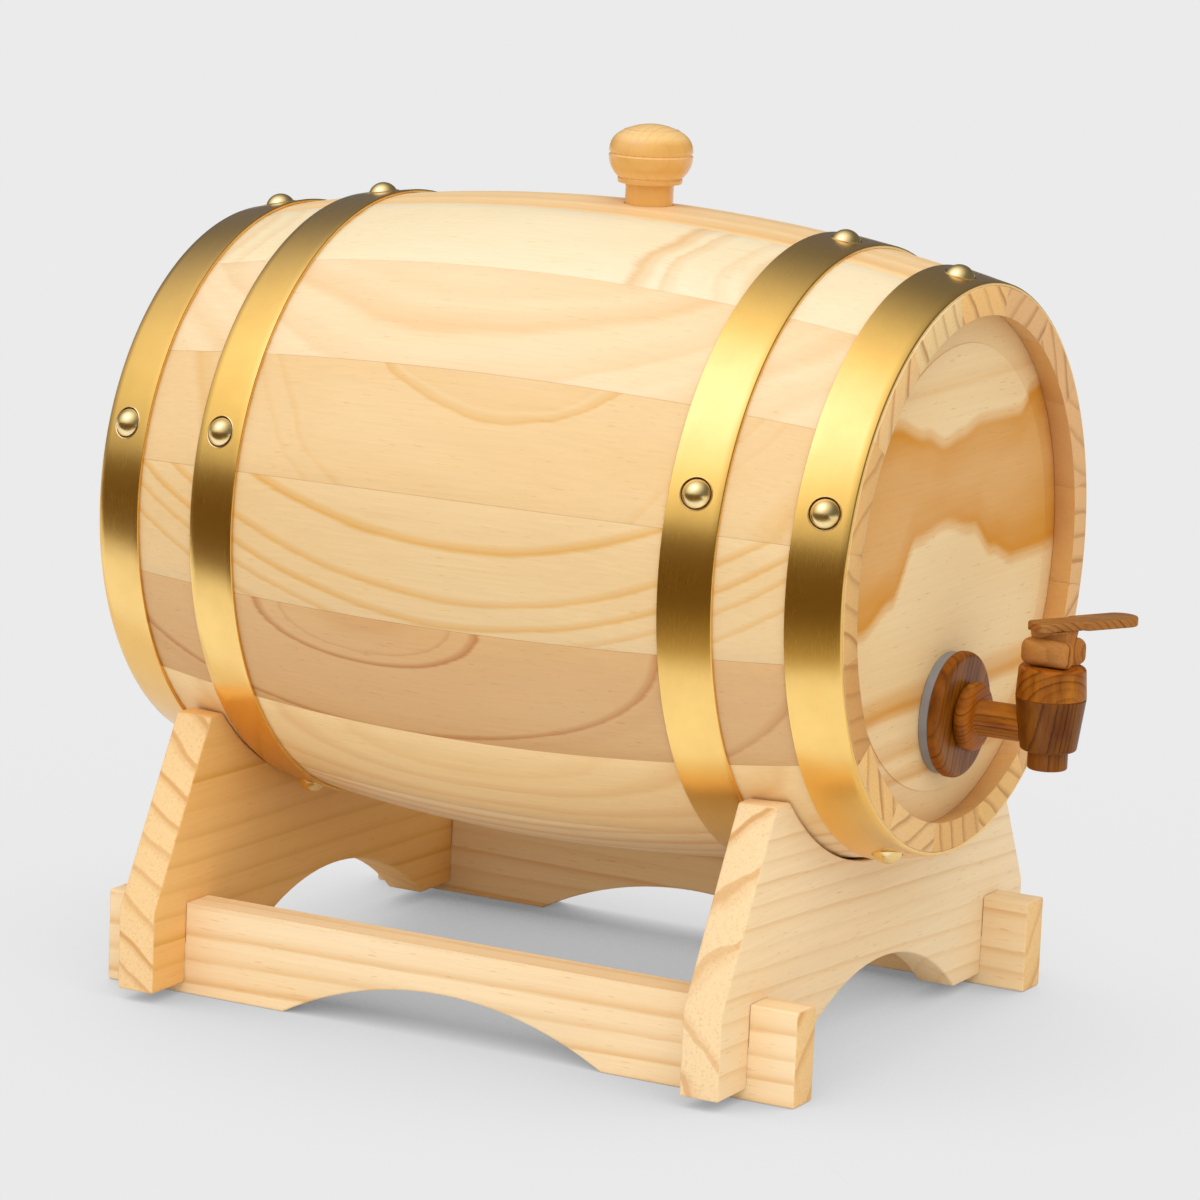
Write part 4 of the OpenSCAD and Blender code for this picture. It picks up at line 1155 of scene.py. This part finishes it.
class MakeTap(bpy.types.Operator):
    """Turns the flange, stem, body, bonnet and spout of the tap"""

    bl_idname = "dispenser.make_tap"
    bl_label = "Tap"

    def execute(self, context):
        settings = context.scene.dispenser
        sizes, fit = settings.tap, settings.barrel.fit
        self.stem_spot = Vector((0, sizes.panel_y, sizes.stem_height))
        self.upright = Vector((0, sizes.upright_y, sizes.stem_height))
        self.make_flange(settings, sizes, fit)
        self.make_stem(settings, sizes, fit)
        self.make_body(settings, sizes, fit)
        self.make_bonnet(settings, sizes)
        self.make_spout(settings, sizes)
        hidden = tap_finish(
            settings, "dark_wood_plug", self.upright, (0, 0, 1), (-1, 0, 0), (0.004, 0, -0.02),
            ring=0.0012, seed=7.3)
        for node in ("lock_nut", "valve_plug"):
            dress(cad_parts[node], hidden)
        return {"FINISHED"}

    def make_flange(self, settings, sizes, fit):
        hole, rim, start = sizes.tail_radius + fit, sizes.flange_radius, sizes.gasket_thickness
        end = start + sizes.flange_thickness
        back_edge, front_edge = 0.0008, sizes.flange_thickness / 2
        outline = [(hole, start), (rim - back_edge, start)]
        outline += arc((rim - back_edge, start + back_edge), back_edge, -60, 0, 2)
        outline += [*arc((rim - front_edge, end - front_edge), front_edge, 0, 90, 8), (hole, end)]
        flange = turned_ring("tap_flange_disc", outline, self.stem_spot, (0, -1, 0), steps=112)
        finish = tap_finish(
            settings, "dark_wood_flange", self.stem_spot, (0.25, 0, 0.968), (0, -1, 0), (0.030, -0.030, 0.022),
            ring=0.0026, seed=1.3, light=0.85, stretch=0.35)
        hand_over(flange, finish, "barrel", ("tap_flange",))

    def make_stem(self, settings, sizes, fit):
        passage, tail, stem = sizes.passage_radius, sizes.tail_radius, sizes.stem_radius
        start = sizes.gasket_thickness + sizes.flange_thickness
        bulge = sizes.shoulder_thickness / 2
        front = start + sizes.shoulder_thickness
        end = self.stem_spot.y - self.upright.y - sizes.bottom_radius * 0.6
        undercut, fillet = 0.0002, 0.0003
        outline = [(passage, -sizes.tail_length), (tail, -sizes.tail_length), (tail, start)]
        outline += [(sizes.shoulder_radius - bulge - undercut, start)]
        outline += arc((sizes.shoulder_radius - bulge, start + bulge), bulge, -85, 90, 14)
        outline += [(stem + 3 * fillet, front), (stem + fillet, front + fillet), (stem, front + 3 * fillet)]
        outline += [(stem, end), (passage, end)]
        piece = turned_ring("tap_stem_turning", outline, self.stem_spot, (0, -1, 0), steps=80)
        rise = sizes.belt_rise + sizes.body_drop
        bore(
            piece, self.upright + Vector((0, 0, (sizes.belt_rise - sizes.body_drop) / 2)),
            sizes.bottom_radius + fit, rise, top=sizes.belt_radius + fit,
        )
        finish = tap_finish(
            settings, "dark_wood_stem", self.stem_spot, (0, 1, 0), (0, 0, 1), (0.004, 0, -0.02),
            ring=0.0016, seed=2.6, light=1.15, strength=0.85)
        hand_over(piece, finish, "barrel", ("tap_stem",))

    def make_body(self, settings, sizes, fit):
        low, belt = -sizes.body_drop, sizes.belt_rise
        bottom_wall = 0.0034
        floor = low + bottom_wall
        spigot = sizes.outlet_radius + SPIGOT_WALL + fit
        register = sizes.bore_radius + REGISTER_WALL + REGISTER_FIT
        soft, bevel = 0.0012, 0.0004
        slope = (sizes.belt_radius - sizes.bottom_radius) / (belt - low)
        outline = [(spigot, low), (sizes.bottom_radius - soft, low)]
        outline += arc((sizes.bottom_radius - soft + slope * soft, low + soft), soft, -75, -8, 5)
        outline += [(sizes.belt_radius - slope * bevel, belt - bevel), (sizes.belt_radius - BELT_GROOVE, belt)]
        outline += [(register, belt), (register, belt - REGISTER_DEPTH), (sizes.bore_radius, belt - REGISTER_DEPTH)]
        outline += [(sizes.bore_radius, floor), (sizes.outlet_radius, floor)]
        outline += [(sizes.outlet_radius, low + SPIGOT_LENGTH), (spigot, low + SPIGOT_LENGTH)]
        piece = turned_ring("tap_body_turning", outline, self.upright, (0, 0, 1), steps=112)
        reach = self.stem_spot.y - self.upright.y
        across = Vector((0, sizes.bore_radius + reach / 4, 0))
        socket_wall, socket_stop, inlet_radius = 0.0015, 0.004, 0.0028
        bore(piece, self.upright + across, sizes.passage_radius + socket_wall, reach / 2 - socket_stop, (pi / 2, 0, 0))
        bore(piece, self.upright + across * 0.6, inlet_radius, reach / 2, (pi / 2, 0, 0))
        finish = tap_finish(
            settings, "dark_wood_body", self.upright, (0, 0, 1), (-0.9, -0.43, 0), (0.014, 0, -0.006),
            ring=0.0015, seed=3.4, light=0.66, strength=0.95)
        hand_over(piece, finish, "barrel", ("tap_body",), smooth=28)

    def make_bonnet(self, settings, sizes):
        belt, top = sizes.belt_rise, sizes.belt_rise + sizes.bonnet_height
        hole, register = 0.00425, sizes.bore_radius + REGISTER_WALL
        soft = 0.0015
        outline = [(hole, belt - REGISTER_DEPTH), (register, belt - REGISTER_DEPTH), (register, belt)]
        outline += [(sizes.belt_radius - BELT_GROOVE, belt), (sizes.belt_radius, belt + BELT_GROOVE)]
        outline += arc((sizes.bonnet_radius - soft, top - soft), soft, 4, 86, 6)
        outline += [(hole, top)]
        piece = turned_ring("tap_bonnet_turning", outline, self.upright, (0, 0, 1), steps=112)
        finish = tap_finish(
            settings, "dark_wood_bonnet", self.upright + Vector((0, 0, belt)), (0, 0, 1), (-0.87, -0.49, 0),
            (0.0015, -0.004, 0.004), ring=0.0013, seed=4.7, light=1.15, strength=0.75, stretch=0.75)
        hand_over(piece, finish, "barrel", ("tap_bonnet",), smooth=28)

    def make_spout(self, settings, sizes):
        low, top = -sizes.body_drop - sizes.spout_length, -sizes.body_drop
        soft, inner, spigot = 0.0008, sizes.outlet_radius, sizes.outlet_radius + SPIGOT_WALL
        outline = [(inner, low), (sizes.spout_radius - soft, low)]
        outline += arc((sizes.spout_radius - soft, low + soft), soft, -70, 0, 4)
        outline += [(sizes.spout_radius, top), (spigot, top)]
        outline += [(spigot, top + SPIGOT_LENGTH), (inner, top + SPIGOT_LENGTH)]
        piece = turned_ring("tap_spout_turning", outline, self.upright, (0, 0, 1), steps=96)
        finish = tap_finish(
            settings, "dark_wood_spout", self.upright, (0, 0, 1), (-0.9, -0.43, 0), (0.010, 0, -0.008),
            ring=0.0013, seed=5.9, light=0.85)
        hand_over(piece, finish, "barrel", ("tap_spout",))


class MakeKey(bpy.types.Operator):
    """Shapes the key block with its finger hollows and the lever on top of it"""

    bl_idname = "dispenser.make_key"
    bl_label = "Key and lever"

    def execute(self, context):
        settings = context.scene.dispenser
        sizes = settings.tap
        bottom = sizes.stem_height + sizes.belt_rise + sizes.bonnet_height + sizes.key_gap
        self.make_block(settings, sizes, bottom)
        self.make_lever(settings, sizes, bottom + sizes.key_height)
        return {"FINISHED"}

    def make_block(self, settings, sizes, bottom):
        """Rounds a block, draws its top face up into a neck, and hollows its sides for the fingers."""
        rounding, neck_inset = 0.0034, 0.003
        hollow_width, hollow_depth, pin_radius = 0.0112, 0.0047, 0.0042
        fresh()
        bpy.ops.mesh.primitive_cube_add(size=1, location=(0, sizes.upright_y, bottom + sizes.key_foot / 2))
        block = settle("key_block_wood", (sizes.key_width, sizes.key_length, sizes.key_foot))
        ease(block, rounding, segments=6)
        top = bottom + sizes.key_foot
        choose(block, "FACE", lambda face: face.normal.z > 0.99 and face.center.z > top - SLACK)
        centre = (0, sizes.upright_y, top)
        neck = sizes.key_height - sizes.key_foot
        wide, deep = ((side - 2 * neck_inset) / (side - 2 * rounding) for side in (sizes.key_width, sizes.key_length))
        for share in (0.35, 0.65):
            bpy.ops.mesh.extrude_region_move(TRANSFORM_OT_translate={"value": (0, 0, neck * share)})
            bpy.ops.transform.resize(value=(wide**share, deep**share, 1), center_override=centre)
        bpy.ops.object.mode_set(mode="OBJECT")
        radius = ((hollow_width / 2) ** 2 + hollow_depth**2) / (2 * hollow_depth)
        for end in (-1, 1):
            y = sizes.upright_y + end * (sizes.key_length / 2 - hollow_depth + radius)
            bore(block, (0, y, bottom + sizes.key_height / 2), radius, 2 * sizes.key_height)
        bore(block, (0, sizes.upright_y, bottom), pin_radius, sizes.key_foot)
        finish = tap_finish(
            settings, "dark_wood_key", (0, sizes.upright_y, bottom), (0.2, 0.95, 0.24), (-0.97, 0.2, 0.0),
            (0.006, 0, -0.018), ring=0.0024, seed=6.2, light=1.25, strength=0.4, wood="key_wood", deep=KEY_DEEP)
        hand_over(block, finish, "tap_key", ("key_block",), smooth=40)

    def make_lever(self, settings, sizes, bottom):
        """Plan of the lever with its paddle along +Y, then turned to its closed place."""
        tail, paddle, reach = sizes.tail_width / 2, sizes.paddle_width / 2, sizes.lever_reach
        corner, soft, back, start = 0.002, 0.0006, -sizes.tail_reach, sizes.paddle_start
        right = [*arc((tail - corner, back + corner), corner, -90, 0, 4), (tail, start)]
        right += [*arc((paddle - corner, start + corner), corner, -60, 0, 3)]
        right += arc((0, reach - paddle), paddle, 0, 90, 12)
        outline = right + [(-x, y) for x, y in reversed(right[:-1])]
        turn = Matrix.Rotation(sizes.lever_turn - pi, 3, "Z")
        axis = Vector((0, sizes.upright_y, bottom))
        points = [axis + turn @ Vector((x, y, 0)) for x, y in outline]
        lever = plank("tap_lever_paddle", points, (0, 0, sizes.lever_thickness))
        weld()
        ease(lever, soft, sharp=40)
        way = turn @ Vector((0, 1, 0))
        side = turn @ Vector((1, 0, 0))
        finish = tap_finish(
            settings, "dark_wood_lever", axis, (way + side * 0.9).normalized(), (0, 0, 1), (0.03, 0, -0.03),
            ring=0.0017, seed=7.1, light=1.05, strength=0.85, wood="key_wood", deep=KEY_DEEP)
        hand_over(lever, finish, "tap_key", ("tap_lever",), smooth=40)


# Bung


class MakeBung(bpy.types.Operator):
    """Turns the bung with its neck, collar, grooved knob and button"""

    bl_idname = "dispenser.make_bung"
    bl_label = "Bung"

    def execute(self, context):
        settings = context.scene.dispenser
        sizes, barrel, colours = settings.bung, settings.barrel, settings.colours
        surface = barrel.axis_height + Curve(barrel).outside(sizes.y - barrel.middle_y)
        place = Vector((0, sizes.y, surface))
        bung = turned("bung_knob", self.outline(sizes), place, (0, 0, 1), steps=112)
        # The bung's top is end grain with painted light, lighter than its sides
        finish = timber(
            "honey_maple", colours.maple, colours.maple_line, place, lie((0, 0, 1), (-0.87, -0.49, 0)),
            (0.004, 0, -0.03), ring=0.004, strength=0.25, wave=0.0016, wave_length=0.03, seed=3.9,
            end_pale=colours.lit_maple_top, end_ring=0.003, end_strength=0.3, fibre=0.06, dashes=0.3, roughness=0.34,
            fine=1.6, specular=0.3, coat=0.55, gloss=0.13, tone_scale=3.0,
        )
        hand_over(bung, finish, "bung", ("bung",), smooth=30)
        return {"FINISHED"}

    def outline(self, sizes):
        """Half section of the bung as (radius, height) pairs, from its lower end up to its button."""
        neck, collar, knob, button = sizes.neck_radius, sizes.collar_radius, sizes.knob_radius, sizes.button_radius
        collar_low = sizes.neck_height
        collar_top = collar_low + sizes.collar_height
        groove = collar_top + sizes.lower_height
        knob_top = groove + sizes.upper_height
        soft, cut, lip, bevel, fillet = 0.0006, sizes.groove, 0.00012, 0.001, 0.0003
        plug, bottom = sizes.plug_radius, -sizes.plug_depth
        points = [(0, bottom), (plug - bevel, bottom), (plug, bottom + bevel), (plug, -bevel), (neck, -bevel)]
        points += [(neck, collar_low - 4 * fillet), (neck + fillet, collar_low - fillet)]
        points += [(neck + 4 * fillet, collar_low)]
        points += arc((collar - soft, collar_low + soft), soft, -90, 0, 3)
        points += arc((collar - soft, collar_top - soft), soft, 0, 60, 2)
        points += self.swell(collar, knob, collar_top, groove - cut)
        points += [(knob - lip, groove - 0.75 * cut), (knob - cut, groove - 0.1 * cut)]
        points += [(knob - cut, groove + 0.1 * cut), (knob - lip, groove + 0.75 * cut)]
        upper = self.swell(button, knob, groove + cut, knob_top)
        points += [(radius, knob_top + groove + cut - height) for radius, height in reversed(upper)]
        crease = ((0.0002, -0.0001), (-0.0005, 0.00045))
        points += [(button + out, knob_top + up) for out, up in crease]
        return points + dome(button, sizes.button_height, knob_top, steps=10, share=0.9)

    def swell(self, small, large, low, high, steps=12):
        """Points of an arc that swells from one radius to a larger one."""
        rise, out = high - low, large - small
        radius = (rise**2 + out**2) / (2 * out)
        heights = [low + rise * i / steps for i in range(steps + 1)]
        return [(large - radius + sqrt(radius**2 - (high - h) ** 2), h) for h in heights]


# Studio

# Brightness of the softbox by how far a ray points at its middle, which is cool, and the way to that middle
SOFTBOX = (
    (0.5, 0.044), (0.64, 0.053), (0.68, 0.065), (0.735, 0.097), (0.775, 0.135), (0.81, 0.174), (0.855, 0.235),
    (0.89, 0.291), (0.93, 0.35), (0.945, (0.391, 0.391, 0.426)), (0.975, (0.456, 0.5, 0.765)),
    (1.0, (0.515, 0.588, 1.0)),
)
SOFTBOX_WAY = Vector((-0.497, 0.287, 0.819)).normalized()

# Way to the wide lamp, and its spread in degrees
LAMP_WAY, LAMP_SPREAD = Vector((-0.52, -0.32, 0.79)), 50

# Cards that the brass mirrors: name, width and length, place, turn, glow and the tone at the foot
CARDS = (
    ("brown_card", (0.448, 2.2), (-0.4925, 0.586, 0.1625), (0, radians(45.4), 0), (0.125, 0.072, 0.01),
     (0.5, 0.4, 0.2)),
    ("white_card", (0.18, 1.0), (-0.215, 0.15, 0.0015), (0, 0, 0), (1.07, 1.17, 1.5), None),
)
FADE_HEIGHT, FADE_END = 0.085, 0.15  # Height and place along Y at which the foot's tone ends

# Share of the floor's colour by how open it is to the sky, and the distance from which pieces close it
FLOOR_SHADE = ((0.0, 0.18), (0.1, 0.43), (0.3, 0.65), (0.55, 0.87), (0.8, 0.985), (1.0, 1.0))
SHADE_REACH = 0.5


class MakeStage(bpy.types.Operator):
    """Lays the floor and the cards, sets the soft studio light and places the camera"""

    bl_idname = "dispenser.make_stage"
    bl_label = "Stage"

    def execute(self, context):
        studio = context.scene.dispenser.studio
        self.lay_floor(studio)
        self.light(context, studio)
        for card in CARDS:
            self.lay_card(*card)
        fresh()
        bpy.ops.object.camera_add(location=studio.camera_place, rotation=studio.camera_turn)
        camera = bpy.context.object
        camera.name = "photo_camera"
        camera.data.lens, camera.data.sensor_width = studio.lens, 36
        camera.data.clip_start, camera.data.clip_end = 0.1, 100
        context.scene.camera = camera
        context.scene.view_settings.view_transform = "Standard"
        return {"FINISHED"}

    def lay_floor(self, studio):
        """Lays the floor, which the camera sees in its own colour, with the object's shade on it."""
        fresh()
        bpy.ops.mesh.primitive_plane_add(size=studio.floor_size, location=(0, 0, 0))
        floor = settle("studio_floor")
        material, bench = new_finish("floor_paint")
        paint = bench.node("ShaderNodeBsdfDiffuse", {}, {"Color": studio.floor})
        open_sky = bench.node("ShaderNodeAmbientOcclusion", {"samples": 24}, {"Distance": SHADE_REACH}, out=1)
        shadow = bench.ramp(open_sky, [(place, tuple(c * share for c in studio.floor)) for place, share in FLOOR_SHADE])
        shown = bench.node("ShaderNodeEmission", {}, {"Color": shadow})
        path = bench.node("ShaderNodeLightPath")
        cover = bench.node("ShaderNodeMixShader", {}, (path, paint, shown))
        bench.node("ShaderNodeOutputMaterial", {}, (cover,))
        material.cycles.emission_sampling = "NONE"
        dress(floor, material)

    def light(self, context, studio):
        """Sets a white dome that brightens towards -X, a softbox that only the gloss mirrors, and a wide lamp."""
        world = bpy.data.worlds.new("studio_sky")
        context.scene.world = world
        world.use_nodes = True
        world.cycles.sampling_method = "NONE"
        bench = Bench(world.node_tree)
        way = bench.node("ShaderNodeTexCoord")
        path = bench.node("ShaderNodeLightPath")
        overhead = studio.dome - bench.split(way)[0] * studio.lean
        glow = bench.ramp(bench.facing(way, SOFTBOX_WAY) * 0.5 + 0.5, SOFTBOX)
        softbox = bench.node("ShaderNodeVectorMath", {"operation": "SCALE"}, {0: glow, "Scale": studio.softbox})
        sky = bench.blend(path.out(3), overhead, softbox)
        sky = bench.blend(path, sky, studio.floor)
        back = bench.node("ShaderNodeBackground", {}, {"Color": sky})
        bench.node("ShaderNodeOutputWorld", {}, (back,))
        fresh()
        turn = LAMP_WAY.to_track_quat("Z", "Y").to_euler()
        bpy.ops.object.light_add(type="SUN", location=LAMP_WAY * 3, rotation=turn)
        lamp = bpy.context.object
        lamp.name = "wide_lamp"
        lamp.data.energy, lamp.data.angle = studio.lamp, radians(LAMP_SPREAD)
        lamp.visible_glossy = False

    def lay_card(self, name, size, place, turn, glow, foot):
        """Lays a card left of the barrel, where only the brass and gloss mirror it.

        The glow may fade to another tone at the card's foot, in its front part.
        """
        fresh()
        bpy.ops.mesh.primitive_plane_add(size=1, location=place, rotation=turn)
        card = settle(name, (*size, 1))
        material, bench = new_finish(name)
        if foot:
            _, y, z = bench.split(bench.node("ShaderNodeTexCoord", out=3))
            fade = ((0.0, 1.0), (1.0, 0.0))
            low, front = bench.ramp(z / FADE_HEIGHT, fade), bench.ramp(y / FADE_END, fade)
            glow = bench.blend(low * front, glow, foot)
        light = bench.node("ShaderNodeEmission", {}, {"Color": glow})
        bench.node("ShaderNodeOutputMaterial", {}, (light,))
        dress(card, material)
        for ray in ("camera", "diffuse", "transmission", "volume_scatter", "shadow"):
            setattr(card, f"visible_{ray}", False)


class DispenserPanel(bpy.types.Panel):
    """Settings and steps of the barrel dispenser"""

    bl_idname = "VIEW3D_PT_dispenser"
    bl_label = "Barrel Dispenser"
    bl_space_type = "VIEW_3D"
    bl_region_type = "UI"
    bl_category = "Barrel"

    def draw(self, context):
        settings = context.scene.dispenser
        for step in STEPS:
            self.layout.operator(step.bl_idname)
        for group in ("barrel", "hoops", "stand", "tap", "bung", "colours", "studio"):
            box = self.layout.box()
            box.label(text=group.capitalize())
            sizes = getattr(settings, group)
            for name in sizes.__annotations__:
                box.prop(sizes, name)


STEPS = (
    MakeStaves, MakeHeads, MakeHoops, MakeRivets, MakeCradles, MakeRails, MakeSeals, MakeTap, MakeKey, MakeBung,
    MakeStage,
)
GROUPS = (
    BarrelSizes, HoopSizes, StandSizes, TapSizes, BungSizes, FinishColours, StudioSettings, DispenserSettings,
)


def register():
    for made in (*GROUPS, *STEPS, DispenserPanel):
        bpy.utils.register_class(made)
    bpy.types.Scene.dispenser = PointerProperty(type=DispenserSettings)


def unregister():
    del bpy.types.Scene.dispenser
    for made in reversed((*GROUPS, *STEPS, DispenserPanel)):
        bpy.utils.unregister_class(made)


def main():
    register()
    bpy.ops.dispenser.make_staves()
    bpy.ops.dispenser.make_heads()
    bpy.ops.dispenser.make_hoops()
    bpy.ops.dispenser.make_rivets()
    bpy.ops.dispenser.make_cradles()
    bpy.ops.dispenser.make_rails()
    bpy.ops.dispenser.make_seals()
    bpy.ops.dispenser.make_tap()
    bpy.ops.dispenser.make_key()
    bpy.ops.dispenser.make_bung()
    bpy.ops.dispenser.make_stage()


if __name__ == "__main__":
    main()
